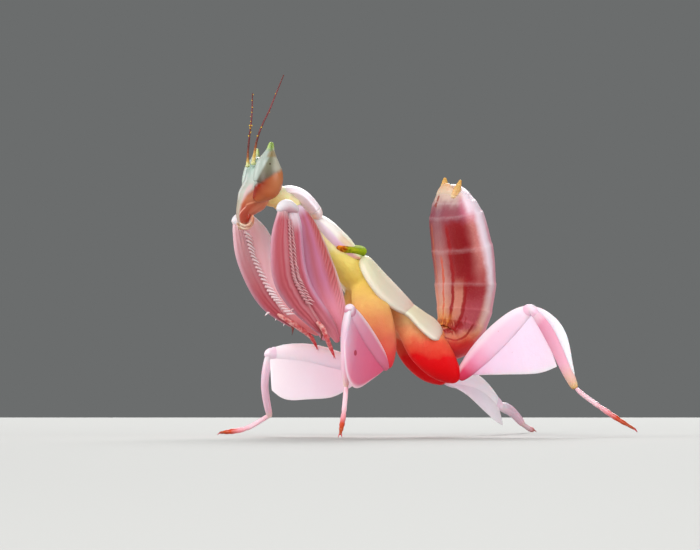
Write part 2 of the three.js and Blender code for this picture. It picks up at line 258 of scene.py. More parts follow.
def fit_on(piece, material, slot, *nodes):
    """Gives a piece its finish, and fixes it to the animal in place of the nodes named."""
    piece.data.materials.clear()
    piece.data.materials.append(material)
    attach(piece, "root")
    if nodes:
        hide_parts(*nodes)
    return piece


def height_of(spot):
    """Height above the floor in millimetres."""
    return spot.node("ShaderNodeSeparateXYZ", {}, {0: spot}, "Z") * 1000


def warm_skin(side, top, along, spot):
    """Yellow at the shoulders, orange and then red toward the lower joints, redder at the back."""
    blotch = spot.noise(800, 3)
    level = (height_of(spot) + blotch * 1.8 - 5.9) / 14
    front = level.colours(
        (0.0, "e0203a"), (0.19, "e23c44"), (0.33, "d86a50"), (0.49, "dc8e58"), (0.61, "deae62"),
        (0.76, "e3c45a"), (0.93, "ebd878"), (1.0, "f2e6b0"),
    )
    rear = level.colours(
        (0.0, "e00010"), (0.12, "e00008"), (0.2, "e00810"), (0.31, "e05c40"), (0.38, "e89060"),
        (0.46, "f4c48a"), (0.6, "f4d29c"), (1.0, "eed9a0"),
    )
    length = spot.node("ShaderNodeSeparateXYZ", {}, {0: spot}, "X") * 1000
    colour = length.rise(-4.6, -3.0).mix(front, rear)
    colour = (blotch.rise(0.5, 0.75) * level.rise(0.35, 0.6) * 0.25).mix(colour, "f2c878")
    creases = spot.stretched(1, 1, 0.3).noise(1100, 2)
    relief = spot.noise(1500, 3) + 0.3 * spot.noise(9000, 2) + 0.9 * creases
    return colour, 0.44 + 0.12 * blotch, relief


def knit(name, parts, grain):
    """Joins pieces into one closed skin, and softens the creases where they meet."""
    bpy.ops.object.select_all(action="DESELECT")
    for part in parts:
        part.select_set(True)
    bpy.context.view_layer.objects.active = parts[0]
    bpy.ops.object.join()
    skin = bpy.context.object
    skin.name = skin.data.name = name
    remesh = skin.modifiers.new("Knit", "REMESH")
    remesh.mode = "VOXEL"
    remesh.voxel_size = grain / 1000
    bpy.ops.object.modifier_apply(modifier=remesh.name)
    soften = skin.modifiers.new("Soften", "SMOOTH")
    soften.factor = 0.5
    soften.iterations = 14
    bpy.ops.object.modifier_apply(modifier=soften.name)
    bpy.ops.object.shade_smooth()
    return skin


def leg_across(line):
    """Upright direction square to a walking leg's own line."""
    axis = Vector(line[-1]) - Vector(line[0])
    return Vector((axis.y, -axis.x, 0)).cross(axis)


trunk_line = [(-18.0, 0, 22.9), (-15.8, 0, 21.2), (-13.2, 0, 18.9), (-10.9, 0, 17.0), (-8.6, 0, 15.1),
              (-6.3, 0, 12.9), (-4.2, 0, 11.1), (-1.6, 0, 9.7), (0.1, 0, 9.2)]
trunk_wide = [1.3, 1.7, 1.75, 1.75, 2.3, 2.35, 2.45, 2.3, 2.2]
trunk_deep = [1.1, 1.4, 1.45, 1.5, 1.75, 1.6, 1.6, 1.6, 1.5]
flesh = [pull("trunk", stations(trunk_line, trunk_wide, trunk_deep, steps=22, blunt=4), sides=24)]
coxa_lines = {
    "midleg_left": [(-9.9, -0.9, 16.6), (-9.6, -1.8, 14.4), (-9.2, -2.4, 12.4), (-8.8, -2.8, 10.5),
                    (-8.3, -3.0, 8.6), (-7.9, -3.1, 6.6)],
    "midleg_right": [(-9.7, 0.9, 16.4), (-9.3, 1.8, 14.4), (-9.0, 2.3, 12.4), (-8.6, 2.6, 10.6),
                     (-8.2, 2.8, 8.8), (-7.9, 2.9, 6.8)],
    "hindleg_left": [(-5.8, -0.9, 12.0), (-4.6, -1.8, 10.8), (-3.4, -2.4, 9.2), (-2.4, -2.8, 7.9),
                     (-1.3, -3.0, 6.7), (0.1, -3.1, 5.6)],
    "hindleg_right": [(-5.4, 0.9, 12.0), (-4.0, 1.7, 10.6), (-2.6, 2.3, 9.2), (-1.2, 2.6, 7.7),
                      (0.1, 2.7, 6.5), (1.5, 2.7, 5.4)],
}
for leg, line in coxa_lines.items():
    wide = [1.0, 1.7 if leg == "midleg_left" else 1.55, 2.0, 1.9, 1.55, 0.8]
    deep = [0.5, 0.8, 1.2, 1.3, 1.15, 0.75]
    flesh.append(pull(leg, stations(line, wide, deep, leg_across(line), blunt=4)))
body = knit("body_skin", flesh, 0.13)
warm = cuticle("Body skin", warm_skin, bleed=0.2, depth=0.6, coat=0, bump=0.12, gloss=0.15)
coxae = [f"{leg}_coxa" for leg in coxa_lines]
fit_on(body, warm, "yellow_skin", "prothorax", "mesothorax", "metathorax", *coxae)

# Shield over the thorax: one horny plate, a pale pink dome in front with a white rim, a curved
# groove across it, and a narrow cream neck behind that ends in a green saddle. It is rooted
# along its middle, and its edges stand free of the soft skin below.


def dome_paint(side, top, along, spot):
    soft = spot.noise(900, 3)
    colour = (along + 0.05 * (soft - 0.5)).colours(
        (0.0, "fff0f8"), (0.4, "ffecf6"), (0.68, "ffe8f0"), (0.76, "fdd2c8"), (0.9, "fcc8b4"),
        (1.0, "fde8e4"),
    )
    margin = abs(side).rise(0.7, 1.0).maths("MAXIMUM", along.rise(0.95, 0.99))
    groove = (along + 0.05 * side * side).band(0.735, 0.005, 0.016)
    colour = stained(colour, (margin * 0.6, "fbeef6"), (groove * 0.7, "fff4f4"))
    return colour, 0.36 + 0.1 * soft, soft * 0.6 + 0.3 * spot.noise(6000, 2) - groove * 1.2


def nape_paint(side, top, along, spot):
    soft = spot.noise(900, 3)
    colour = (along + 0.05 * (soft - 0.5)).colours(
        (0.0, "fbf0ee"), (0.4, "fcf4e8"), (0.7, "f6f2cc"), (0.9, "eaf0b0"), (1.0, "e4eaa0"),
    )
    peach = top.band(0.05, 0.2, 0.3) * along.band(0.55, 0.08, 0.16)
    # The lower edge takes a lilac-white rim. It is partly the shield's own pale margin and partly painted
    # light, made lighter to make up for the shade beneath.
    edge = (top + 0.1 * (soft - 0.5)).rise(-0.02, -0.3)
    rim = along.colours((0.1, "fdeefc"), (0.4, "f8cef0"), (0.7, "f2b4d2"), (0.9, "e8a898"))
    colour = stained(colour, (peach * 0.7, "e4bc98"), (edge * 0.85, rim))
    return colour, 0.36 + 0.1 * soft, soft * 0.6 + 0.3 * spot.noise(6000, 2)


dome_line = [(-18.4, 0, 24.45), (-17.25, 0, 24.52), (-16.45, 0, 24.1), (-15.8, 0, 23.47),
             (-15.2, 0, 22.77), (-14.72, 0, 22.15), (-14.38, 0, 21.62)]
dome = pull("shield_dome_shell", stations(
    dome_line, [1.3, 2.4, 2.95, 3.1, 3.1, 2.9, 2.5], [0.35, 0.55, 0.7, 0.76, 0.8, 0.8, 0.7],
    steps=26, blunt=3.6,
), sides=28, keel=0.55)
dome_look = cuticle("Shield dome", dome_paint, bleed=0.15, depth=0.5, coat=0.1)
fit_on(dome, dome_look, "cream_shell", "pronotum")
nape_line = [(-15.1, 0, 22.0), (-13.8, 0, 20.9), (-12.62, 0, 19.82), (-11.6, 0, 19.05),
             (-10.55, 0, 18.2), (-9.4, 0, 17.8)]
nape = pull("shield_nape_shell", stations(
    nape_line, [2.4, 2.5, 2.3, 2.1, 2.0, 1.9], [0.8, 1.12, 1.22, 1.12, 0.86, 0.6], steps=24, blunt=4,
), sides=28, keel=0.08)
fit_on(nape, cuticle("Shield nape", nape_paint, bleed=0.15, depth=0.5), "cream_shell")

saddle_line = [at(-12.8, 0, 18.97), at(-11.8, 0, 18.73), at(-10.7, 0, 18.53), at(-9.6, 0, 18.42)]
saddle_axes = ring_frame(Vector((0.98, 0, -0.12)), Vector((0, 1, 0)))
rings = []
for t in (0.0, 0.08, 0.25, 0.45, 0.65, 0.85, 0.96, 1.0):
    girth = smooth([0.8, 0.96, 1.0, 1.0, 1.0], t) / 1000
    wide, deep = (2.42 - 0.2 * t) * girth, (0.62 + 0.02 * t) * girth
    rings.append((t, smooth(saddle_line, t), saddle_axes, wide, deep))


def saddle_paint(side, top, along, spot):
    streak = spot.noise(3500, 3)
    front = (along + 0.3 * (streak - 0.5)).rise(0.42, 0.2)
    rust = streak.rise(0.4, 0.6).mix("a43c0a", "e48c24")
    colour = streak.rise(0.35, 0.65).mix("7a8a10", "a8ac1c")
    colour = stained(colour, (along.rise(0.5, 0.9), "8ca41c"), (front, rust))
    return colour, 0.65, spot.noise(5000, 3)


saddle_look = cuticle("Saddle", saddle_paint, bleed=0.1, coat=0, gloss=0.05)
fit_on(pull("saddle", rings, sides=24), saddle_look, "cream_shell")

# Wing pads: the buds of the four wings, thin overlapping cream plates that lie back from the
# shoulders along each side of the body. They are hinged on the thorax at their front ends.


def pad_paint(side, top, along, spot):
    tone = (along + 0.08 * spot.noise(1200)).colours(
        (0.0, "dedcb4"), (0.5, "dfd8bc"), (0.85, "e0d2c2"), (1.0, "dcbcaa"),
    )
    colour = (abs(side).rise(0.8, 1.0) * 0.5).mix(tone, "f4eede")
    ribs = (side * 14 + along * 5).maths("SINE")
    return colour, 0.45, spot.noise(1600, 3) * 0.7 + 0.16 * ribs


pads = cuticle("Wing pad shell", pad_paint, bleed=0.3, depth=0.6, coat=0.1)
pad_edges = {
    "fore": ([(-9.97, 1.5, 17.89), (-9.25, 1.25, 17.84), (-8.47, 1.1, 17.3), (-7.25, 1.0, 16.16),
              (-6.0, 1.0, 15.01), (-4.73, 1.0, 13.72), (-3.9, 1.3, 12.7)],
             [(-10.29, 2.1, 17.6), (-10.42, 2.7, 16.93), (-10.19, 3.3, 15.86), (-9.6, 3.75, 14.71),
              (-8.52, 3.8, 13.51), (-6.69, 3.4, 12.51), (-4.93, 2.7, 12.1)], 0.66),
    "hind": ([(-5.4, 0.9, 14.0), (-4.43, 0.95, 13.3), (-3.35, 1.0, 12.55), (-2.44, 1.0, 12.05),
              (-1.8, 1.1, 11.7), (-1.3, 1.4, 11.0), (-1.25, 1.9, 10.3)],
             [(-6.44, 2.3, 12.9), (-6.03, 2.9, 12.41), (-5.52, 3.4, 12.02), (-4.89, 3.8, 11.12),
              (-4.1, 4.0, 10.32), (-3.26, 4.1, 9.7), (-2.43, 3.7, 9.6)], 0.55),
}


def mirrored(line, sign):
    """A line on the animal's left with a sign of -1, or on its right with 1."""
    return [(x, sign * y, z) for x, y, z in line]


def blade(name, upper, lower, thick, steps=14):
    """Pulls a flat ring between an upper and a lower edge. thick is half its thickness."""
    upper = [at(*point) for point in upper]
    lower = [at(*point) for point in lower]
    rings = []
    for k in range(steps + 1):
        t = (1 - math.cos(math.pi * k / steps)) / 2
        top, bottom = smooth(upper, t), smooth(lower, t)
        ahead = smooth(upper, t + 0.02) + smooth(lower, t + 0.02)
        ahead = ahead - smooth(upper, t - 0.02) - smooth(lower, t - 0.02)
        u = (bottom - top).normalized()
        v = ahead.cross(u).normalized()
        axes = Matrix((u, v, u.cross(v))).transposed()
        girth = max(0.15, (1 - abs(2 * t - 1) ** 6) ** 0.5)
        rings.append((t, (top + bottom) / 2, axes, (bottom - top).length / 2, thick * girth / 1000))
    return pull(name, rings)


for side, sign in (("left", -1), ("right", 1)):
    for wing, (upper, lower, thick) in pad_edges.items():
        name = f"wing_pad_{wing}_{side}_shell"
        pad = blade(name, mirrored(upper, sign), mirrored(lower, sign), thick, steps=16)
        fit_on(pad, pads, "cream_shell", f"wing_pad_{wing}_{side}")

# Neck: soft yellow skin in small folds that lets the head turn, dotted with fine grains. It runs
# from the front of the thorax, under the shield's rim, into the back of the head.


def neck_paint(side, top, along, spot):
    folds = (along * 26 + 2 * spot.noise(900)).maths("SINE")
    grain = spot.cells(4200).rise(0.25, 0.12)
    colour = (top * 0.4 + 0.45 + 0.25 * spot.noise(1200)).colours(
        (0.1, "fcc67c"), (0.4, "fce498"), (0.9, "fdf6d4"),
    )
    relief = spot.noise(2200, 3) + 0.4 * grain + 0.2 * folds
    return (grain * 0.5).mix(colour, "f6e98a"), 0.5, relief


neck_line = [at(-20.3, 0, 24.2), at(-18.9, 0, 24.05), at(-17.6, 0, 23.55), at(-16.6, 0, 22.8)]
rings = []
for k in range(15):
    t = k / 14
    fold = 1 + 0.05 * math.sin(t * 24)
    axes = ring_frame(Vector((1, 0, -0.15 - 0.5 * t)), Vector((0, 1, 0)))
    wide, deep = (0.00135 + 0.0003 * t) * fold, (0.00112 + 0.00014 * t) * fold
    rings.append((t, smooth(neck_line, t), axes, wide, deep))
fit_on(pull("neck_skin", rings), cuticle("Neck skin", neck_paint, bleed=0.5), "yellow_skin", "neck")

# Abdomen: eight overlapping rings of tough skin, curled up over the back, with the plate and the
# two feelers of the tail at its tip. Blood-red lines and a wine-dark band run up each side.

abdomen_line = [at(x, 0, z) for x, z in (
    (-1.6, 9.9), (0.2, 9.2), (1.5, 10.3), (2.1, 12.2), (2.25, 14.4), (2.2, 16.8), (1.8, 19.3),
    (1.3, 21.8), (0.95, 23.7), (0.8, 25.2),
)]
abdomen_wide = [1.8, 2.5, 3.1, 4.0, 4.8, 5.0, 4.9, 4.5, 3.4, 1.5]
abdomen_deep = [1.6, 1.9, 2.1, 2.3, 2.4, 2.45, 2.4, 2.2, 1.5, 0.6]
ring_edges = [0.2, 0.275, 0.355, 0.485, 0.65, 0.8, 0.875, 0.935]
shares = {0.02: 0.86, 0.05: 0.96, 0.1: 1.0, 0.15: 1.0, 0.965: 0.93, 0.987: 0.78, 0.997: 0.5}
for before, edge in zip([0.2] + ring_edges, ring_edges):
    shares[edge - 0.008] = 1.02
    shares[edge] = 1.014
    shares[edge + 0.006] = 0.99
    shares[(before + edge) / 2] = 0.998
rings = []
for t, girth in sorted(shares.items()):
    axes = ring_frame(heading(abdomen_line, t), Vector((0, 1, 0)))
    wide, deep = (girth * smooth(sizes, t) / 1000 for sizes in (abdomen_wide, abdomen_deep))
    rings.append((t, smooth(abdomen_line, t), axes, wide, deep))


def abdomen_paint(side, top, along, spot):
    """Marks are set by the bearing round the body: 0 along the back, 90 at the side, 180 below."""
    wander = spot.noise(1100, 3) - 0.5
    fleck = spot.noise(5200, 3)
    bearing = abs(side).maths("ARCTAN2", top) * 57.3 + wander * 9
    z = height_of(spot) + wander
    near = side.rise(0.1, -0.1)
    colour = (z / 26).colours(
        (0.36, "e0946a"), (0.45, "d6a27c"), (0.56, "c4928a"), (0.68, "aa6e6e"), (0.8, "90585e"),
        (0.86, "8e606a"), (0.93, "c8aca2"), (1.0, "d8b8a0"),
    )
    below_tip = 1 - z.rise(21.8, 23.4)
    root = z.rise(9, 10.5)
    flush = bearing.rise(0, 34) * bearing.rise(104, 80) * z.rise(9.5, 11) * below_tip
    flush = flush * (0.3 + 0.7 * near) * (0.8 + 0.4 * fleck)
    pale = bearing.band(33, 7, 9) * z.rise(16.2, 14.2) * z.rise(10, 12)
    salmon = bearing.band(80, 5, 24) * z.rise(14.0, 18.5) * below_tip
    wine = bearing.band(44, 6, 34) * z.rise(13.5, 18.0) * (1 - z.rise(20.4, 23.0))
    cap = bearing.band(36, 20, 14) * z.rise(21.0, 21.8) * (1 - z.rise(22.2, 23.8))
    blush = bearing.band(76, 10, 20) * z.band(22.9, 0.7, 1.2)
    lateral = (bearing + 7 * z.rise(15.0, 19.5)).rise(84, 104)
    lateral = lateral * z.rise(9.5, 12.5) * (0.5 + 0.5 * z.rise(13, 17))
    lateral = lateral.maths("MAXIMUM", bearing.rise(60, 78) * z.rise(21.4, 23.0))
    below = bearing.rise(104, 122) * (1 - z.rise(20, 23.5))
    back_line = bearing.band(0, 1.4, 2.0) * root * (1 - z.rise(17.0, 18.5))
    inner_line = bearing.band(22, 1.8, 3.0) * root * (1 - z.rise(20.6, 21.4))
    outer_line = bearing.band(46, 2.0, 3.5) * z.rise(10, 11) * (1 - z.rise(15, 16))
    low_line = bearing.band(80, 1.6, 2.5) * z.band(10.3, 0.7, 0.5)
    fold = z.rise(12.8, 11.0) * bearing.rise(44, 16) * z.rise(8.4, 9.6)
    crease = spot.stretched(1, 1, 0.5).noise(1300, 2).band(0.5, 0.05, 0.07)
    crease = crease * z.rise(12.2, 11.2) * z.rise(8.6, 9.8)
    tip = z.rise(23.2, 24.2) * bearing.rise(95, 60)
    edges = 0
    for edge in ring_edges[2:]:
        edges = (along + wander * 0.008).band(edge - 0.002, 0.001, 0.007) + edges
    blots = z.band(23.75, 0.2, 0.16) + z.band(23.1, 0.16, 0.14)
    blots = (1 - near) * bearing.band(14, 3.5, 3) * blots
    colour = stained(
        colour,
        (flush, z.rise(12.0, 15.2).mix("b4505a", "962028")), (pale * 0.75, "d28f7c"),
        (salmon * (0.4 + 0.5 * fleck), "da8f88"), (wine * (0.65 + 0.35 * fleck), "801018"),
        (cap * 0.75, "86404e"), (blush * 0.5, "d8809c"), (lateral * 0.85, "eedde9"),
        (below * 0.85, "dc8c9e"), (inner_line * (0.35 + 0.6 * near), near.mix("cc6a34", "94141a")),
        (back_line * 0.75, "cc4a28"), (outer_line * 0.85, "96121a"), (low_line * 0.8, "8a1c14"),
        (fold * 0.85, "dd923c"), (crease * bearing.band(30, 22, 16) * 0.8, "960c10"),
        (z.rise(10.6, 9.0) * 0.95, bearing.rise(70, 120).mix("b80204", "d42a30")),
        (tip * 0.6, "ccb0a0"), (edges * 0.17 * fleck * z.rise(12.0, 16.0), "f4e4e8"),
        (blots * 0.8, "8a2c10"),
    )
    relief = spot.noise(1300, 4) + 0.35 * spot.noise(7000, 2) - crease * 0.5
    return colour, 0.38 + 0.14 * wander, relief


abdomen = pull("abdomen_skin", rings, sides=36)
hide = cuticle("Abdomen skin", abdomen_paint, bleed=0.12, depth=0.4, coat=0.04, bump=0.08, gloss=0.14)
fit_on(abdomen, hide, "abdomen", "abdomen_base", "abdomen_middle", "abdomen_tip")


def graded(rough, relief, *tones, waver=0, swirl=1):
    """A finish that changes only along a piece, with the edges of its tones stirred a little."""
    def paint(side, top, along, spot):
        return (along + waver * spot.noise(swirl)).colours(*tones), rough, spot.noise(*relief)
    return paint


def beaded(rings, swell, pace):
    """Swells and narrows a row of rings in turn, as beadlike joints do."""
    made = []
    for k, (t, centre, axes, wide, deep) in enumerate(rings):
        bead = 1 + swell * math.cos(k * pace)
        made.append((t, centre, axes, wide * bead, deep * bead))
    return made


tail_line = [(0.4, 0, 23.0), (0.1, 0, 24.2), (0.15, 0, 25.3)]
tail = pull("tail_plate_shell", stations(tail_line, [2.4, 2.1, 0.9], [0.5, 0.4, 0.2], steps=12))
tail_paint = graded(0.45, (3000, 3), (0.0, "ccac9a"), (0.6, "d4b8a0"), (1.0, "d0a070"))
fit_on(tail, cuticle("Tail plate", tail_paint), "tail", "tail_plate")
feeler_paint = graded(
    0.5, (6000, 3), (0.1, "e2c4a0"), (0.5, "d8aa72"), (1.0, "cca050"), waver=0.3, swirl=2500,
)
feeler = cuticle("Tail feeler", feeler_paint, bleed=0.3)
cerci = {
    "left": ([(0.1, -1.95, 23.7), (0.35, -2.1, 24.6), (0.7, -2.2, 25.6)], [0.46, 0.38, 0.12]),
    "right": ([(0.5, 1.3, 23.9), (0.65, 1.5, 24.9), (0.8, 1.65, 25.85)], [0.45, 0.4, 0.15]),
}
for side, (line, girth) in cerci.items():
    rings = beaded(stations(line, girth, girth, steps=17, blunt=5), 0.1, 2.4)
    cercus = pull(f"cercus_{side}_skin", rings, sides=14, levels=1)
    fit_on(cercus, feeler, "tail", f"cercus_{side}")

# Head: a thin hard capsule, broad between the eyes and drawn down to the mouth, with a low ridge
# down the face. The eyes are set in its sides, and it turns on the neck at its back.


def face_paint(side, top, along, spot):
    blotch = spot.noise(1300, 3)
    z = height_of(spot) + 0.3 * (blotch - 0.5)
    rear = 0.86 * top + 0.506 * abs(side) + 0.16 * (blotch - 0.5)
    # Colour by height. The top stops darken the crown to grey-green: partly the head's own colour and
    # partly painted shade against the lamp's highlight on top.
    colour = (z / 30).colours(
        (0.7, "c8a898"), (0.73, "baa294"), (0.77, "aea490"), (0.82, "b0b0a6"), (0.87, "a8b6ad"),
        (0.9, "98b2a4"), (0.93, "84968c"),
    )
    crest = (side - 0.1).band(0.0, 0.06, 0.16) * (1 - top.rise(-0.75, -0.4)) * z.band(24.9, 1.0, 0.6)
    fold = rear.band(-0.42, 0.06, 0.16) * z.band(24.2, 0.6, 0.5)
    margin = (z - 23.2).maths("MAXIMUM", 0) * 0.25 - 0.52
    cheek = (rear - margin).rise(-0.2, 0.2)
    rust = (z / 30).colours(
        (0.7, "b24a30"), (0.74, "a2321a"), (0.77, "ae4a2a"), (0.79, "b86a44"), (0.82, "a23e1e"),
    )
    under = rear.rise(0.35, 0.8) * z.rise(24.6, 23.4) * z.rise(21.6, 22.4)
    # A pale pink streak along the jaw's front edge is a painted highlight.
    front_painted_highlight = (z - 1.34 * rear - 22.85).band(0.0, 0.06, 0.1) * rear.band(-0.25, 0.2, 0.12)
    rear_streak = (z - 0.6 * rear - 23.1).band(0.0, 0.05, 0.1) * rear.band(0.35, 0.35, 0.15)
    nape = top.rise(0.2, 0.75) * z.rise(24.8, 26.2)
    lip = z.rise(21.35, 20.95)
    seam = side.band(0.0, 0.015, 0.03) * (1 - top.rise(-0.4, -0.1)) * z.rise(25.2, 25.8)
    colour = stained(
        colour, (crest * 0.5, "e2e2de"), (fold * 0.55, "d8a8ac"), (cheek * 0.95, rust),
        (under * 0.55, "dc9272"), (front_painted_highlight * 0.75, "eaa898"), (rear_streak * 0.5, "e8a07c"),
        (nape * 0.85, "c6c8ae"), (lip * 0.8, "d8bca8"), (seam * 0.3, "a9b5a8"),
    )
    return colour, 0.34 + 0.1 * blotch, blotch + 0.25 * spot.noise(9000) + crest * 0.8 - seam


head_line = [(-20.78, 0, 27.76), (-20.5, 0, 26.92), (-20.56, 0, 26.33), (-20.51, 0, 25.13),
             (-20.85, 0, 24.2), (-21.28, 0, 23.47), (-21.73, 0, 22.85), (-22.12, 0, 22.15),
             (-22.2, 0, 21.5), (-22.18, 0, 20.83)]
head = pull("head_shell", stations(
    head_line, [1.2, 1.75, 1.9, 2.0, 1.9, 1.6, 1.25, 0.95, 0.8, 0.6],
    [0.75, 0.95, 1.12, 1.42, 1.5, 1.53, 1.15, 0.82, 0.66, 0.45], steps=24, blunt=3.2,
), sides=28)
face = cuticle("Face shell", face_paint, bleed=0.2, depth=0.4, coat=0.12)
fit_on(head, face, "face", "head")

# Mouth: a pair of hard red jaws between the face and two pairs of jointed feeler legs, the palps,
# which curl forward under them. The jaws are set in the sides of the head's lower end.


def jaw_paint(side, top, along, spot):
    soft = spot.noise(2200, 3)
    return soft.mix("96200c", "b8442a"), 0.3, soft


jaws = pull("jaws", stations(
    [(-21.75, 0, 22.45), (-21.95, 0, 21.9), (-22.05, 0, 21.2)], [0.9, 0.98, 0.84], [0.3, 0.4, 0.34],
    steps=14, blunt=2.4,
), sides=22)
fit_on(jaws, cuticle("Jaw shell", jaw_paint, bleed=0.15, coat=0.25), "mouth", "mouthparts")
palp_paint = graded(0.4, (5000,), (0.2, "cc8464"), (0.9, "dcc0a8"), waver=0.3, swirl=2500)
palp_skin = cuticle("Palp skin", palp_paint, bleed=0.3)
palp_lines = [
    ([(-21.5, 0.72, 22.1), (-21.6, 0.8, 21.5), (-21.95, 0.8, 21.05), (-22.4, 0.62, 21.0),
      (-22.7, 0.3, 21.3)], 0.15),
    ([(-21.3, 0.5, 21.9), (-21.45, 0.62, 21.2), (-21.85, 0.66, 20.75), (-22.35, 0.5, 20.7),
      (-22.65, 0.15, 20.95)], 0.13),
]
for number, (palp_line, girth) in enumerate(palp_lines):
    taper = [girth, girth, girth * 0.6]
    for side, sign in (("left", -1), ("right", 1)):
        rings = stations(mirrored(palp_line, sign), taper, taper, steps=15, blunt=6)
        rings = beaded(rings, 0.14, 1.9)
        fit_on(pull(f"palp_{side}_{number}", rings, sides=10, levels=1), palp_skin, "mouth")

# Eyes: tall cones with a glassy skin over fine facets, pale in front, rust below and green at the
# tip, each ending in a small rounded knob. They are part of the head capsule.


def eye_paint(outward):
    def paint(side, top, along, spot):
        """Bands slant across the eye: pale in front, dark in the middle and rust at the back."""
        turned = math.radians(25)
        rear = math.sin(turned) * outward * side - math.cos(turned) * top
        blotch = spot.noise(1100, 2) - 0.5
        z = height_of(spot) + 0.3 * blotch + outward * 0.3 + 0.1
        colour = z.rise(25.0, 27.4).mix("625448", "7c7c66")
        first = z - 3.03 * rear - 27.37
        second = z - 0.95 * rear - 25.4
        cheek = rear.rise(0.95, -0.6).mix("bc7448", "8a200a")
        cheek = (z.rise(25.2, 23.6) * rear.rise(-0.6, 0.3) * 0.5).mix(cheek, "b4522c")
        front = rear.rise(-0.72, -0.95) * z.rise(24.9, 25.6)
        patch = z.band(27.9, 0.2, 0.25) * rear.band(0.4, 0.4, 0.35)
        core = z.band(28.65, 0.3, 0.3) * rear.band(0.1, 0.3, 0.3)
        pupil = z.band(26.96, 0.05, 0.06) * rear.band(0.24, 0.045, 0.05)
        colour = stained(
            colour, (rear.rise(0.25, 0.85) * z.rise(25.6, 26.6) * 0.85, "bebaa8"),
            (first.rise(-0.45, 0.35), "aab4ab"), (second.rise(0.28, -0.28), cheek),
            (front * 0.8, "bcc6bd"), (patch * 0.65, "8a7040"),
            (z.rise(28.15, 28.7) * 0.9, "a2bc5c" if outward < 0 else "d0dc90"),
            (core * 0.75, "5a7624"), (pupil * 0.85, "3a1c18"),
        )
        return colour, 0.24, spot.cells(14000) * 0.5
    return paint


eye_line = [(-21.84, 1.9, 23.5), (-21.28, 2.08, 24.02), (-20.95, 2.26, 24.45), (-20.63, 2.32, 24.92),
            (-20.52, 2.34, 25.61), (-20.52, 2.34, 26.31), (-20.51, 2.32, 27.0), (-20.43, 2.29, 27.5),
            (-20.24, 2.24, 28.39), (-20.1, 2.2, 29.3)]
eye_wide = [0.45, 0.78, 0.98, 1.1, 1.15, 1.1, 0.97, 0.82, 0.48, 0.34]
eye_deep = [0.5, 1.0, 1.27, 1.48, 1.56, 1.5, 1.27, 1.06, 0.52, 0.34]
for side, sign in (("left", -1), ("right", 1)):
    line = mirrored(eye_line, sign)
    if side == "right":
        line = [(x + 0.95 - 0.07 * k, 0.9 * y, z - 0.6) for k, (x, y, z) in enumerate(line)]
    girth = 1 if side == "left" else 0.92
    wide = [girth * half for half in eye_wide]
    deep = [girth * half for half in eye_deep]
    eye = pull(f"eye_{side}_lens", stations(line, wide, deep, steps=28, blunt=4), sides=28)
    look = eye_paint(sign)
    glass = cuticle(f"Eye skin {side}", look, bleed=0.08, depth=0.3, coat=0.12, bump=0.006, gloss=0.25)
    fit_on(eye, glass, "eye", f"eye_{side}")

# Feelers: two threads of beadlike joints, green-yellow at the root and dark red-brown beyond, with
# grains of pollen caught on them. Each stands in a round socket between the eyes.


def pollen_paint(side, top, along, spot):
    return spot.noise(8000).mix("e0a51e", "f0c63a"), 0.6, spot.noise(15000)


threads = {
    "left": [(-21.5, -0.9, 27.0), (-21.3, -1, 28.7), (-21.0, -1, 29.9), (-20.45, -1, 31.2),
             (-19.8, -1, 32.4), (-19.0, -1, 34.2), (-18.2, -1, 36.0)],
    "right": [(-21.3, 0.8, 26.8), (-21.2, 1, 28.2), (-21.05, 1, 29.8), (-20.85, 1, 31.3),
              (-20.75, 1, 32.5), (-20.7, 1, 34.2)],
}
thread_paint = graded(
    0.45, (9000, 2), (0.0, "b6c478"), (0.06, "ccce94"), (0.12, "cfae58"), (0.19, "8c4a22"),
    (0.3, "5c211c"), (0.8, "74363a"), (1.0, "5a2a26"), waver=0.06, swirl=3000,
)
thread = cuticle("Feeler thread", thread_paint, bleed=0.1, coat=0.2)
pollen = cuticle("Pollen", pollen_paint, bleed=0.2)
bpy.ops.object.select_all(action="DESELECT")
bpy.ops.mesh.primitive_ico_sphere_add(subdivisions=2, radius=0.000075, location=(0, 0, 0))
grain = bpy.context.object
grain.name = "pollen_model"
bpy.ops.object.mode_set(mode="EDIT")
bpy.ops.mesh.select_all(action="SELECT")
bpy.ops.transform.vertex_random(offset=0.00002, seed=3)
bpy.ops.object.mode_set(mode="OBJECT")
bpy.ops.object.shade_smooth()


def copies(model, name, places, material, slot):
    """Copies a small model to each place, (position, turn, size), as one mesh of its own."""
    bpy.ops.object.select_all(action="DESELECT")
    made = []
    for position, turn, size in places:
        copy = model.copy()
        copy.data = model.data.copy()
        bpy.context.collection.objects.link(copy)
        copy.matrix_world = Matrix.Translation(position) @ turn.to_4x4() @ Matrix.Scale(size, 4)
        copy.select_set(True)
        made.append(copy)
    bpy.context.view_layer.objects.active = made[0]
    if len(made) > 1:
        bpy.ops.object.join()
    joined = bpy.context.object
    joined.name = joined.data.name = name
    bpy.ops.object.transform_apply(location=True, rotation=True, scale=True)
    return fit_on(joined, material, slot)


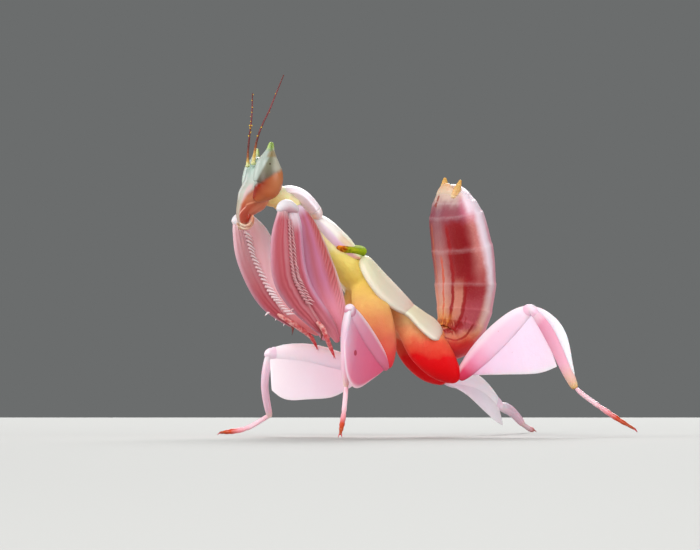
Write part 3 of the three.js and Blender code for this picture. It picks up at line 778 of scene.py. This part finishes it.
pollen_places = {
    "left": [0.2, 0.33, 0.45, 0.66, 0.83],
    "right": [0.42, 0.46, 0.47, 0.52, 0.55, 0.56, 0.61, 0.7, 0.77, 0.83, 0.9, 0.96],
}
random.seed(11)
for side, line in threads.items():
    line = [at(*point) for point in line]
    rings = []
    for k in range(64):
        t = k / 63
        radius = smooth([0.16, 0.12, 0.1, 0.09, 0.08, 0.07, 0.06], t) * (1 + 0.14 * math.cos(k * math.pi))
        radius = radius * (1.7 if 0 < k < 3 else 1.25 if k < 7 else 1) / 1000
        axes = ring_frame(heading(line, t), Vector((0, 1, 0)))
        rings.append((t, smooth(line, t), axes, radius, radius))
    fit_on(pull(f"antenna_{side}_thread", rings, sides=10, levels=1), thread, "antenna", f"antenna_{side}")
    grains = []
    for t in pollen_places[side]:
        t = min(0.99, t + random.uniform(-0.01, 0.01))
        off = Vector((random.uniform(-1, 1), random.uniform(-1, 0.2), 0)).normalized() * 0.00009
        turn = Matrix.Rotation(random.uniform(0, 3), 3, "Z")
        grains.append((smooth(line, t) + off, turn, random.uniform(0.6, 1.1)))
    copies(grain, f"pollen_{side}", grains, pollen, "antenna")

# Grasping legs: the coxa hangs from the neck end of the thorax, the broad femur folds up against it,
# and the tibia folds down again along the femur, with a comb of spines in two rows down its inner
# edge. All are hard shell over muscle, hinged at their ends.


def streaked(side, spot, squeeze=0.25, scale=1500):
    """Lengthwise streaks, and the way across a limb from 0 to 1, wavering with them."""
    streak = spot.stretched(1, 1, squeeze).noise(scale, 3)
    return streak, (side + 0.3 * (streak - 0.5) + 1) / 2


def grasp_coxa_paint(side, top, along, spot):
    """Lilac ridge in front, coral behind with fine slanting folds, and a pale hem."""
    streak, across = streaked(side, spot)
    colour = across.colours(
        (0.0, "c47892"), (0.18, "c77e9c"), (0.32, "bc6474"), (0.5, "c07090"), (0.68, "b8545c"),
        (0.86, "b9504e"), (0.92, "d09890"), (1.0, "e6ccd4"),
    )
    slant = (along * 150 + side * 22 + streak * 5).maths("SINE")
    folds = slant * side.rise(0.1, 0.5) * (1 - side.rise(0.82, 0.9))
    colour = stained(
        colour, (folds.rise(0.1, 1.0) * 0.22, "e0a4a4"), (along.rise(0.16, 0.04) * 0.8, "e6d6e6"),
        (along.rise(0.55, 0.85) * 0.7, "ea98a8"),
    )
    return colour, 0.42, streak * 1.1 + 0.35 * folds + 0.2 * spot.noise(8000)


def grasp_femur_paint(side, top, along, spot):
    """Rose with lengthwise ridges, lilac toward its rear edge and whitish at the knee."""
    streak, across = streaked(side, spot)
    colour = across.colours(
        (0.0, "b8505e"), (0.3, "c06470"), (0.5, "b44c5c"), (0.65, "c27088"), (0.82, "d39ab8"),
        (1.0, "cc88a4"),
    )
    ribs = (side * 13 + streak * 3).maths("SINE")
    colour = stained(
        colour, (along.rise(0.78, 0.93) * 0.85, "e2d4dc"), (along.rise(0.4, 0.08) * 0.65, "ea98a6"),
    )
    return colour, 0.4, streak * 1.4 + 0.25 * ribs + 0.2 * spot.noise(8000)


def painted_light_femur_paint(side, top, along, spot):
    """The same limb seen from within, painted paler than the near limb as painted light for the shade it
    lies in: pale pink flesh with a lilac-white back.
    """
    streak, across = streaked(side, spot)
    colour = across.colours((0.0, "f2bcc4"), (0.4, "f8ccd4"), (0.6, "fce0ea"), (0.8, "fdf2fc"),
                            (1.0, "fdf6fe"))
    colour = (along.rise(0.45, 0.1) * 0.8).mix(colour, "ea8a8c")
    return colour, 0.4, streak * 1.4 + 0.2 * spot.noise(8000)


def grasp_tibia_paint(painted_light_wash):
    def paint(side, top, along, spot):
        """Rose-red with pale lengthwise ridges and a greyish outer hem."""
        streak, across = streaked(side, spot, 0.2, 1800)
        colour = across.colours(
            (0.0, "c08898"), (0.12, "b8606e"), (0.26, "b44e58"), (0.38, "ba5660"), (0.46, "b04450"),
            (0.56, "c0707a"), (0.72, "b85862"), (0.85, "c8848a"), (1.0, "c07078"),
        )
        colour = stained(
            # The wash pales most of the shank. It is painted light, which the far leg's copy uses against
            # the shade it lies in.
            colour, (along.rise(0.75, 0.15) * painted_light_wash, "e8c2ca"),
            (along.rise(0.16, 0.02) * 0.8, "dcc4c6"),
        )
        ribs = (side * 15 + streak).maths("SINE")
        return colour, 0.36, streak * 1.2 + 0.35 * ribs
    return paint


def tarsus_paint(side, top, along, spot):
    mottle = spot.noise(2600, 3)
    colour = (mottle + 0.25 * (0.5 - along)).colours((0.3, "c22a34"), (0.5, "d66a6c"), (0.7, "eeb8b0"))
    return colour, 0.32, mottle


grasp = {
    "left": {
        "coxa": [(-17.49, -2.6, 23.0), (-17.11, -2.78, 22.2), (-16.7, -2.96, 21.06), (-16.29, -3.13, 19.57),
                 (-15.86, -3.31, 17.79), (-15.38, -3.46, 16.0), (-14.77, -3.57, 14.31),
                 (-14.22, -3.68, 13.02), (-13.56, -3.79, 11.44), (-13.34, -3.9, 9.9)],
        "femur": [(-14.03, -4.8, 9.4), (-14.69, -4.91, 10.65), (-15.61, -5.02, 11.84),
                  (-16.75, -5.13, 13.23), (-17.79, -5.24, 14.62), (-18.53, -5.31, 16.4),
                  (-18.86, -5.33, 18.38), (-18.98, -5.36, 20.06), (-19.16, -5.38, 21.54),
                  (-19.6, -5.4, 22.9)],
        "tibia": [(-20.5, -5.7, 23.1), (-20.52, -5.74, 22.03), (-20.59, -5.78, 21.04),
                  (-20.67, -5.82, 19.76), (-20.64, -5.86, 18.37), (-20.55, -5.9, 16.99),
                  (-20.25, -5.8, 15.61), (-19.58, -5.7, 14.42), (-18.71, -5.6, 13.23),
                  (-17.5, -5.5, 11.95), (-16.0, -5.4, 10.4)],
        "tarsus": [(-16.9, -6.0, 11.5), (-16.2, -5.9, 10.8), (-15.75, -5.8, 9.9), (-15.3, -5.6, 9.1),
                   (-14.8, -5.5, 8.1)],
    },
    "right": {
        "coxa": [(-16.2, 2.1, 22.0), (-15.2, 2.4, 19.2), (-13.9, 2.8, 16.0), (-12.5, 3.1, 12.6),
                 (-11.4, 3.5, 9.6)],
        "femur": [(-11.7, 4.4, 10.2), (-13.1, 4.47, 11.4), (-14.9, 4.53, 12.6), (-16.1, 4.6, 14.2),
                  (-16.78, 4.67, 15.9), (-17.48, 4.7, 17.4), (-17.97, 4.7, 18.79), (-18.52, 4.7, 20.09),
                  (-19.07, 4.7, 21.08), (-19.7, 4.7, 22.1)],
        "tibia": [(-20.78, 4.6, 21.8), (-20.65, 4.6, 20.78), (-20.35, 4.6, 19.59), (-20.06, 4.6, 18.39),
                  (-19.61, 4.6, 17.2), (-19.03, 4.6, 16.0), (-18.38, 4.58, 14.8), (-17.65, 4.56, 13.71),
                  (-16.78, 4.54, 12.81), (-15.9, 4.52, 12.0), (-14.6, 4.5, 11.0)],
        "tarsus": [(-16.6, 4.0, 12.2), (-15.0, 4.0, 11.3), (-13.9, 4.0, 10.6), (-12.9, 4.0, 9.9),
                   (-12.3, 4.0, 8.9)],
    },
}
grasp_section = {
    "left": {
        "coxa": ([0.55, 0.75, 1.1, 1.35, 1.66, 1.85, 1.81, 1.64, 1.25, 0.75], [0.85, 0.75, 0.6, 0.55]),
        "femur": ([0.5, 0.7, 0.75, 0.76, 0.79, 0.8, 0.82, 0.84, 0.88, 0.85], [0.5, 0.65, 0.68, 0.66, 0.6]),
        "tibia": ([0.6, 0.75, 0.95, 1.15, 1.22, 1.3, 1.32, 1.2, 1.08, 0.95, 0.8],
                  [0.6, 0.55, 0.5, 0.42, 0.34]),
    },
    "right": {
        "coxa": ([0.9, 1.4, 1.5, 1.4, 0.8], [0.85, 0.8, 0.7, 0.6, 0.55]),
        "femur": ([0.8, 1.05, 1.15, 1.2, 1.27, 1.35, 1.42, 1.28, 1.06, 0.75], [0.5, 0.65, 0.7, 0.7, 0.6]),
        "tibia": ([0.62, 0.72, 0.86, 0.94, 0.98, 1.0, 1.0, 0.95, 0.88, 0.72, 0.55],
                  [0.55, 0.5, 0.46, 0.4, 0.32]),
    },
}
for side in grasp_section:
    grasp_section[side]["tarsus"] = ([0.26, 0.27, 0.24, 0.22, 0.17], [0.26, 0.27, 0.24, 0.22, 0.17])
grasp_skins = {
    "coxa": cuticle("Grasping coxa skin", grasp_coxa_paint, bleed=0.15, depth=0.4, bump=0.08, coat=0.04),
    "femur": cuticle("Grasping femur skin", grasp_femur_paint, bleed=0.15, depth=0.4, bump=0.08, coat=0.04),
    "tibia": cuticle("Grasping tibia skin", grasp_tibia_paint(0), bleed=0.15, depth=0.4, bump=0.08,
                     coat=0.1),
    "tarsus": cuticle("Grasping foot skin", tarsus_paint, bleed=0.2, coat=0.4),
}
# Paler copies of the femur and tibia finishes for the far grasping leg, painted light to make up for the
# shade it lies in.
painted_light_skins = {
    "femur": cuticle("Grasping femur skin with painted light", painted_light_femur_paint, bleed=0.3, depth=0.6, bump=0.08),
    "tibia": cuticle("Grasping tibia skin with painted light", grasp_tibia_paint(0.6), bleed=0.2, depth=0.4, bump=0.08),
}


def jointed(rings, joints):
    """Narrows a row of rings at each joint, and swells it a little before."""
    made = []
    for t, centre, axes, wide, deep in rings:
        pinch = 1.0
        for joint in joints:
            pinch = pinch - 0.22 * math.exp(-((t - joint) / 0.014) ** 2)
            pinch = pinch + 0.1 * math.exp(-((t - joint + 0.045) / 0.02) ** 2)
        made.append((t, centre, axes, wide * pinch, deep * pinch))
    return made


def spine_paint(root, middle):
    return graded(0.35, (9000,), (0.0, root), (0.5, middle), (0.85, middle), (1.0, "b0504a"))


spine_rings = []
for k in range(7):
    t = k / 6
    axes = ring_frame(Vector((0.5 * t + 0.02, 0, 1)), Vector((0, 1, 0)))
    centre = Vector((0.0003 * t * t, 0, 0.001 * t))
    spine_rings.append((t, centre, axes, 0.0002 * (1.04 - t), 0.00016 * (1.04 - t)))
spine = pull("spine_model", spine_rings, sides=8, levels=1)
# The far comb's spines are painted whiter than the near comb's. This is partly their own pale colour and
# partly painted light against the shade they lie in.
painted_light_spine_shell = cuticle("Spine shell", spine_paint("f0c4ca", "fff0f4"), bleed=0.2, coat=0.3)
scale_shell = cuticle("Short spine shell", spine_paint("c07880", "dea8ac"), bleed=0.2)
claw_paint = graded(0.3, (9000,), (0.0, "cc5a50"), (0.6, "c41c34"), (1.0, "8a1420"))
claw_shell = cuticle("Claw shell", claw_paint, bleed=0.1, coat=0.4)
hook_paint = graded(0.3, (9000,), (0.0, "a8483c"), (0.5, "6a2018"), (1.0, "3a100c"))
hook_shell = cuticle("Hook shell", hook_paint, bleed=0.05, coat=0.4)


def grasp_knee_paint(side, top, along, spot):
    """Whitish over the top of the joint and rose below."""
    soft = spot.noise(1500, 3)
    colour = (top + 0.5 * (soft - 0.5)).rise(-0.9, 0.6).mix("cc98a4", "dcd6da")
    return colour, 0.44, soft


grasp_knees = {
    "left": ([(-21.0, -5.7, 22.35), (-20.1, -5.7, 22.95), (-18.7, -5.4, 22.4)], [0.5, 0.68, 0.5]),
    "right": ([(-21.1, 4.6, 21.1), (-20.5, 4.6, 21.55), (-19.6, 4.6, 21.3)], [0.55, 0.7, 0.6]),
}
knee_skin = cuticle("Grasping knee skin", grasp_knee_paint, bleed=0.2)
outer_spines = [
    (0.8, (-0.3, 0, -0.3), (-1, -0.3, -0.3), 0.95),
    (0.87, (-0.2, 0, -0.4), (-0.7, -0.3, -0.5), 0.45),
    (0.93, (-0.1, 0, -0.4), (-0.5, -0.3, -0.6), 0.35),
]


def toward(aim, hint):
    """A turn that points a model's Z along aim and its X toward the hint."""
    z = aim.normalized()
    y = z.cross(hint).normalized()
    return Matrix((y.cross(z), y, z)).transposed()


for side, sign in (("left", -1), ("right", 1)):
    for part, line in grasp[side].items():
        wide, deep = grasp_section[side][part]
        rings = stations(line, wide, deep, (1, 0, 0.3), steps=30 if part == "tarsus" else 24, blunt=3.2)
        if part == "tarsus":
            rings = jointed(rings, (0.36, 0.56, 0.72, 0.86))
        leg = pull(f"foreleg_{side}_{part}_skin", rings, sides=22)
        # The far grasping leg takes the paler copies, which are painted light.
        skin = painted_light_skins[part] if side == "right" and part in painted_light_skins else grasp_skins[part]
        fit_on(leg, skin, "foreleg", f"foreleg_{side}_{part}")
    knee_line, girth = grasp_knees[side]
    rings = stations(knee_line, [0.56, 0.64, 0.56], girth, blunt=2.4)
    knee = pull(f"foreleg_{side}_knee", rings, sides=24)
    fit_on(knee, knee_skin, "foreleg")
    shank = grasp[side]["tibia"]
    shank_wide = grasp_section[side]["tibia"][0]
    line = [at(*point) for point in shank]
    comb = []
    for row in (-1, 1):
        for k in range(24):
            t = 0.14 + (0.7 if side == "left" else 0.8) * k / 24
            ahead = heading(line, t).normalized()
            inner = ahead.cross(Vector((0, 1, 0))).normalized()
            inner = inner if inner.x > 0 else -inner
            off = 0.00045 if row < 0 else 0.00085
            root = smooth(line, t) + inner * smooth(shank_wide, t) * off
            if side == "left":
                root = root + Vector((0, -0.0004 + 0.0001 * row, 0))
                aim = ahead + inner + Vector((0, -0.45, 0))
                size = random.uniform(0.7, 0.85) * (0.7 + 0.5 * t)
            else:
                root = root + Vector((0, row * 0.0003 - 0.0001, 0))
                aim = inner * 0.8 + ahead * 0.55 + Vector((0, -0.5, 0))
                size = random.uniform(0.85, 1.1)
            comb.append((root, toward(aim, ahead), size))
    for share, shift, aim, size in outer_spines:
        root = smooth(line, share) + Vector(shift) / 1000
        comb.append((root, toward(Vector(aim), Vector((0, 0, -1))), size))
    copies(spine, f"foreleg_{side}_comb", comb, scale_shell if side == "left" else painted_light_spine_shell, "foreleg")
    toes = [at(*point) for point in grasp[side]["tarsus"]]
    tip = toes[-1] - toes[-2]
    claws = [(toes[-1] - tip * 0.12, toward(tip + Vector((0.0002, turn, 0)), Vector((-1, 0, 0))), 0.5)
             for turn in (-0.0004, 0.0004)]
    copies(spine, f"foreleg_{side}_claws", claws, claw_shell, "foreleg")
    hook = (smooth(line, 0.985), toward(Vector((0.1, -0.3, -1)), Vector((-1, 0, 0))), 1.1)
    copies(spine, f"foreleg_{side}_hook", [hook], hook_shell, "foreleg")

# Walking legs: four slender legs whose thighs carry thin petal-shaped lobes. The coxae are fleshy
# and yellow to red where they join the body, and each foot ends in a pair of claws.


def petal_paint(tones, dots, hem=0.8):
    def paint(side, top, along, spot):
        soft = spot.noise(500, 3)
        colour = (along + 0.12 * (soft - 0.5)).colours(*tones)
        rim = side.rise(hem, (1 + hem) / 2 + 0.1)
        colour = (rim * 0.55).mix(colour, "fdf3f8")
        for x, y, z, size in dots:
            centre = at(x, y, z)
            away = spot.node(
                "ShaderNodeVectorMath", {"operation": "DISTANCE"}, {0: spot, 1: centre}, "Value",
            )
            away = away * 1000 + 0.1 * spot.noise(4000)
            colour = (away.rise(size + 0.09, size) * 0.85).mix(colour, "a81c3c")
        veins = spot.stretched(1, 1, 0.6).noise(1100, 3)
        return colour, 0.5, veins * 1.2 + 0.25 * spot.noise(7000)
    return paint


def knee_paint(tone, cap):
    """Leg-coloured at both ends and pale over the joint."""
    def paint(side, top, along, spot):
        soft = spot.noise(1500, 3)
        return (along + 0.1 * (soft - 0.5)).band(0.5, 0.1, 0.3).mix(tone, cap), 0.42, soft
    return paint


def arch(name, thigh, shank, wide, deep, across):
    """A bent sleeve over the joint between a thigh and a shank."""
    thigh = [Vector(point) for point in thigh]
    shank = [Vector(point) for point in shank]
    line = [
        smooth(thigh, 0.86), smooth(thigh, 0.95), (thigh[-1] + shank[0]) / 2,
        smooth(shank, 0.04), smooth(shank, 0.11),
    ]
    return pull(name, stations(line, wide, deep, across, steps=20, blunt=5), sides=20)


walking = {
    "midleg_left": {
        "femur": [(-7.9, -3.2, 6.8), (-11.0, -5.5, 9.9), (-14.0, -7.5, 12.8)],
        "tibia": [(-14.1, -7.5, 12.9), (-14.4, -7.2, 10.5), (-14.2, -6.7, 8.0), (-13.5, -5.6, 4.9)],
        "tarsus": [(-13.5, -5.6, 5.2), (-14.6, -7.4, 2.5), (-15.8, -9.1, 0.32)],
    },
    "midleg_right": {
        "femur": [(-8.1, 3.2, 6.9), (-12.4, 5.0, 8.2), (-16.3, 6.6, 8.3)],
        "tibia": [(-16.3, 6.6, 8.4), (-15.9, 8.6, 5.1), (-14.4, 10.6, 1.8)],
        "tarsus": [(-14.4, 10.5, 2.1), (-16.3, 12.2, 0.7), (-18.6, 13.65, 0.26)],
    },
    "hindleg_left": {
        "femur": [(-0.1, -3.2, 5.7), (1.3, -4.6, 7.8), (2.8, -6.0, 9.85), (4.3, -7.4, 11.7),
                  (5.5, -8.4, 12.75)],
        "tibia": [(5.6, -8.6, 12.6), (6.6, -9.5, 11.0), (7.4, -10.3, 9.0), (8.1, -11.0, 6.8),
                  (8.85, -11.65, 4.75)],
        "tarsus": [(8.85, -11.7, 4.85), (9.4, -12.2, 4.2), (10.2, -13.0, 3.42), (11.1, -13.9, 2.58),
                   (12.2, -14.85, 1.65), (13.5, -15.8, 0.72)],
    },
    "hindleg_right": {
        "femur": [(1.2, 2.7, 5.6), (5.8, 5.5, 5.3), (10.1, 8.4, 2.9)],
        "tibia": [(10.0, 8.3, 2.9), (12.9, 11.5, 2.3), (15.8, 14.7, 0.9)],
        "tarsus": [(15.5, 14.4, 1.0), (17.2, 16.4, 0.5), (18.6, 18.0, 0.26)],
    },
}
lobes = {
    "midleg_left": ([(-8.1, -3.3, 7.0), (-9.6, -4.4, 8.6), (-11.4, -5.65, 10.3), (-13.0, -6.8, 12.0),
                     (-14.0, -7.5, 12.8)],
                    [(-8.7, -3.8, 6.5), (-10.7, -5.2, 5.6), (-13.0, -6.8, 4.8), (-14.5, -7.8, 6.1),
                     (-14.9, -8.1, 9.2)]),
    "hindleg_left": ([(0.6, -3.9, 6.6), (1.85, -5.0, 8.1), (3.3, -6.35, 10.2), (4.8, -7.75, 12.1),
                      (5.9, -8.8, 12.6)],
                     [(1.0, -4.2, 6.1), (2.3, -5.4, 6.15), (4.1, -7.1, 6.2), (6.1, -8.95, 6.3),
                      (7.5, -10.25, 7.0)]),
    "midleg_right": ([(-8.2, 3.2, 6.9), (-10.4, 4.2, 7.7), (-12.5, 5.0, 8.3), (-14.5, 5.8, 8.6),
                      (-16.3, 6.6, 8.5)],
                     [(-8.4, 3.2, 5.2), (-10.4, 4.0, 3.9), (-12.6, 4.9, 3.7), (-14.8, 5.85, 3.6),
                      (-16.1, 6.5, 4.6)]),
    "hindleg_right": ([(1.4, 2.9, 5.6), (3.6, 4.3, 5.4), (5.8, 5.6, 5.3), (8.0, 7.0, 4.3), (9.9, 8.4, 3.0)],
                      [(1.6, 2.7, 5.2), (4.0, 3.5, 4.2), (6.4, 4.9, 2.7), (8.6, 6.3, 1.4),
                       (10.2, 7.8, 0.9)]),
}
walking_section = {
    "femur": ([0.75, 0.95, 1.0, 0.9, 0.65], [0.6, 0.48, 0.4, 0.36, 0.4]),
    "tibia": ([0.55, 0.72, 0.7, 0.62, 0.56], [0.42, 0.42, 0.38, 0.38, 0.4]),
    "tarsus": ([0.3, 0.25, 0.25, 0.27, 0.17], [0.3, 0.25, 0.25, 0.27, 0.17]),
}
pink = ((0.0, "c8082c"), (0.1, "dc4068"), (0.22, "f29abc"), (0.4, "fccce4"), (0.7, "fed8ec"),
        (1.0, "fee6f4"))
rosy = ((0.0, "d8607c"), (0.25, "de7c9a"), (0.6, "e08ca8"), (0.85, "e8b0c6"), (1.0, "f4e4ea"))
# The far mid and hind legs take near-white tones, painted light to make up for the shade they lie in. The
# faint tones also give the near hind leg's shin petal its own pale colour.
pale_and_painted_light_tones = ((0.0, "fac8de"), (0.15, "ffe4f4"), (0.6, "fff2fd"), (1.0, "fff4fa"))
painted_light_tones = ((0.0, "f6c0d8"), (0.15, "fcdcee"), (0.5, "feeaf8"), (1.0, "fceff6"))
leg_tones = {"midleg_left": rosy, "hindleg_left": pink, "midleg_right": painted_light_tones, "hindleg_right": pale_and_painted_light_tones}
lobe_tones = {
    "midleg_left": ((0.0, "d9587e"), (0.3, "d96488"), (0.65, "de7c9c"), (1.0, "eebcd2")),
    "hindleg_left": ((0.0, "f6b4d0"), (0.3, "fcd6ec"), (0.7, "fde0f6"), (1.0, "fddcf0")),
    "midleg_right": painted_light_tones, "hindleg_right": pale_and_painted_light_tones,
}
dots = {
    "midleg_left": [(-13.3, -7.1, 8.4, 0.3)],
    "hindleg_left": [(4.0, -7.2, 8.4, 0.05), (2.8, -6.5, 10.5, 0.05)],
    "midleg_right": [], "hindleg_right": [],
}


def shin_paint(*tones):
    def paint(side, top, along, spot):
        soft = spot.noise(900, 3)
        colour = (along + 0.1 * (soft - 0.5)).colours(*tones)
        return colour, 0.42, soft + 0.3 * spot.noise(6000)
    return paint


shin_tones = [(0.0, "faeaf2"), (0.2, "e89cb8"), (0.7, "f0b0c6"), (0.86, "e8bcae"), (0.95, "dcb47c"),
              (1.0, "d0a464")]
pale_tones = [(0.0, "f6eef2"), (0.3, "eccadc"), (0.8, "eebfd2"), (1.0, "ecc8b4")]
shin = cuticle("Shin skin", shin_paint(*shin_tones), bleed=0.3)
pale_shin = cuticle("Pale shin skin", shin_paint(*pale_tones), bleed=0.3)
foot_paint = graded(
    0.3, (5000, 3), (0.0, "f0b8c4"), (0.45, "f4ccd6"), (0.66, "f09aa4"), (0.8, "c8421c"),
    (1.0, "a84a1c"), waver=0.1, swirl=1500,
)
foot = cuticle("Foot skin", foot_paint, bleed=0.3, coat=0.4)
knee_tones = {
    "midleg_left": "dc8ea8", "hindleg_left": "f6c2da", "midleg_right": "f6d8ea", "hindleg_right": "f6d8ea",
}
for leg, parts in walking.items():
    thigh = cuticle(f"Thigh skin {leg}", petal_paint(leg_tones[leg], dots[leg], 0.1), bleed=0.35)
    glow = 0.5 if leg.endswith("left") else 0.1
    petal = cuticle(f"Petal skin {leg}", petal_paint(lobe_tones[leg], dots[leg]), bleed=glow, depth=1.2)
    for part, line in parts.items():
        wide, deep = walking_section[part]
        if (leg, part) == ("hindleg_left", "femur"):
            wide = [0.8, 1.15, 1.25, 1.05, 0.7]
        if leg in ("midleg_right", "hindleg_right") and part == "tibia":
            wide = [0.5, 0.56, 0.54, 0.48, 0.42]
        rings = stations(line, wide, deep, leg_across(line), steps=36 if part == "tarsus" else 16,
                         blunt=3.2)
        if part == "tarsus":
            rings = jointed(rings, (0.5, 0.66, 0.78, 0.88))
        piece = pull(f"{leg}_{part}_skin", rings, sides=20)
        look = {"femur": thigh, "tibia": shin if leg == "hindleg_left" else pale_shin, "tarsus": foot}[part]
        fit_on(piece, look, "petal_leg", f"{leg}_{part}")
    run = Vector(parts["femur"][-1]) - Vector(parts["femur"][0])
    knee = arch(f"{leg}_knee", parts["femur"], parts["tibia"], [0.36, 0.38, 0.42, 0.38, 0.32],
                [0.68, 0.6, 0.46, 0.48, 0.5], (run.y, -run.x, 0))
    knee_look = cuticle(f"Knee skin {leg}", knee_paint(knee_tones[leg], "f8e0ec"), bleed=0.25)
    fit_on(knee, knee_look, "petal_leg")
    upper, lower = lobes[leg]
    fit_on(blade(f"{leg}_petal", upper, lower, 0.2), petal, "petal_leg")
    toes = [at(*point) for point in parts["tarsus"]]
    tip = (toes[-1] - toes[-2]).normalized()
    flat = Vector((-tip.y, tip.x, 0)).normalized()
    root = toes[-1] - tip * 0.0003
    claws = [(root, toward(tip + flat * turn, Vector((0, 0, -1))), 0.6) for turn in (-0.5, 0.5)]
    copies(spine, f"{leg}_claws", claws, claw_shell, "petal_leg")
outer = [(5.3, -8.3, 13.1), (6.4, -9.4, 12.7), (7.5, -10.45, 11.6), (8.2, -11.1, 10.0),
         (8.5, -11.4, 8.0), (8.75, -11.65, 6.2)]
inner = [(5.5, -8.5, 12.5), (6.3, -9.25, 11.6), (7.0, -9.95, 10.2), (7.45, -10.4, 8.8),
         (7.9, -10.8, 7.3), (8.45, -11.35, 5.8)]
shin_petal = cuticle("Shin petal skin", petal_paint(pale_and_painted_light_tones, []), bleed=0.5, depth=1.2)
fit_on(blade("hindleg_left_shin_petal", outer, inner, 0.2), shin_petal, "petal_leg")

# Stage: a pale matt table top in a plain grey room, which the feet stand on. Soft square lamps
# light it from above and around, and the camera stands level with the animal.

bpy.ops.object.select_all(action="DESELECT")
bpy.ops.mesh.primitive_plane_add(size=1, location=(-0.116, -0.249, 0), rotation=(0, 0, math.radians(-25)))
floor = bpy.context.object
floor.name = "floor"
floor.scale = (1.6, 0.86, 1)
bpy.ops.object.transform_apply(location=True, rotation=True, scale=True)


def plain(name, colour, rough):
    material = bpy.data.materials.new(name)
    material.use_nodes = True
    surface = material.node_tree.nodes["Principled BSDF"]
    surface.inputs["Base Color"].default_value = tint(colour)
    surface.inputs["Roughness"].default_value = rough
    return material


floor.data.materials.append(plain("Table top", "acaca9", 0.75))
world = bpy.data.worlds.new("Studio")
bpy.context.scene.world = world
world.use_nodes = True
world.node_tree.nodes["Background"].inputs["Color"].default_value = tint("6b6d6d")
world.node_tree.nodes["Background"].inputs["Strength"].default_value = 1.0


def lamp(name, place, aim, size, power):
    bpy.ops.object.light_add(type="AREA", location=place)
    light = bpy.context.object
    light.name = name
    light.data.size = size
    light.data.energy = power
    light.rotation_euler = (Vector(aim) - Vector(place)).to_track_quat("-Z", "Y").to_euler()


lamp("Key", (-0.4, -0.5, 0.62), (0, 0, 0.015), 0.45, 4.4)
lamp("Front", (-0.62, -0.75, 0.1), (0, 0, 0.015), 0.5, 3.4)
lamp("Back", (0.3, 0.5, 0.4), (0, 0, 0.012), 0.4, 4.4)
lamp("Side", (-0.55, 0.25, 0.25), (0, 0, 0.012), 0.4, 2.5)
lamp("Fill", (0.5, -0.62, 0.18), (0, 0, 0.012), 0.5, 2.6)

turn = math.radians(-25)
aim = Vector((-6.56, 2.965, 16.1)) / 1000
look = Vector((-math.sin(turn), math.cos(turn), 0))
distance = 1.2
view_width = 0.07
bpy.ops.object.camera_add(location=aim - look * distance, rotation=(math.radians(90), 0, turn))
camera = bpy.context.object
camera.data.sensor_width = 36
camera.data.lens = 36 * distance / view_width
camera.data.clip_start = 0.05
camera.data.clip_end = 20
bpy.context.scene.camera = camera

bpy.context.scene.view_settings.view_transform = "Standard"

for model in (grain, spine):
    bpy.data.objects.remove(model)
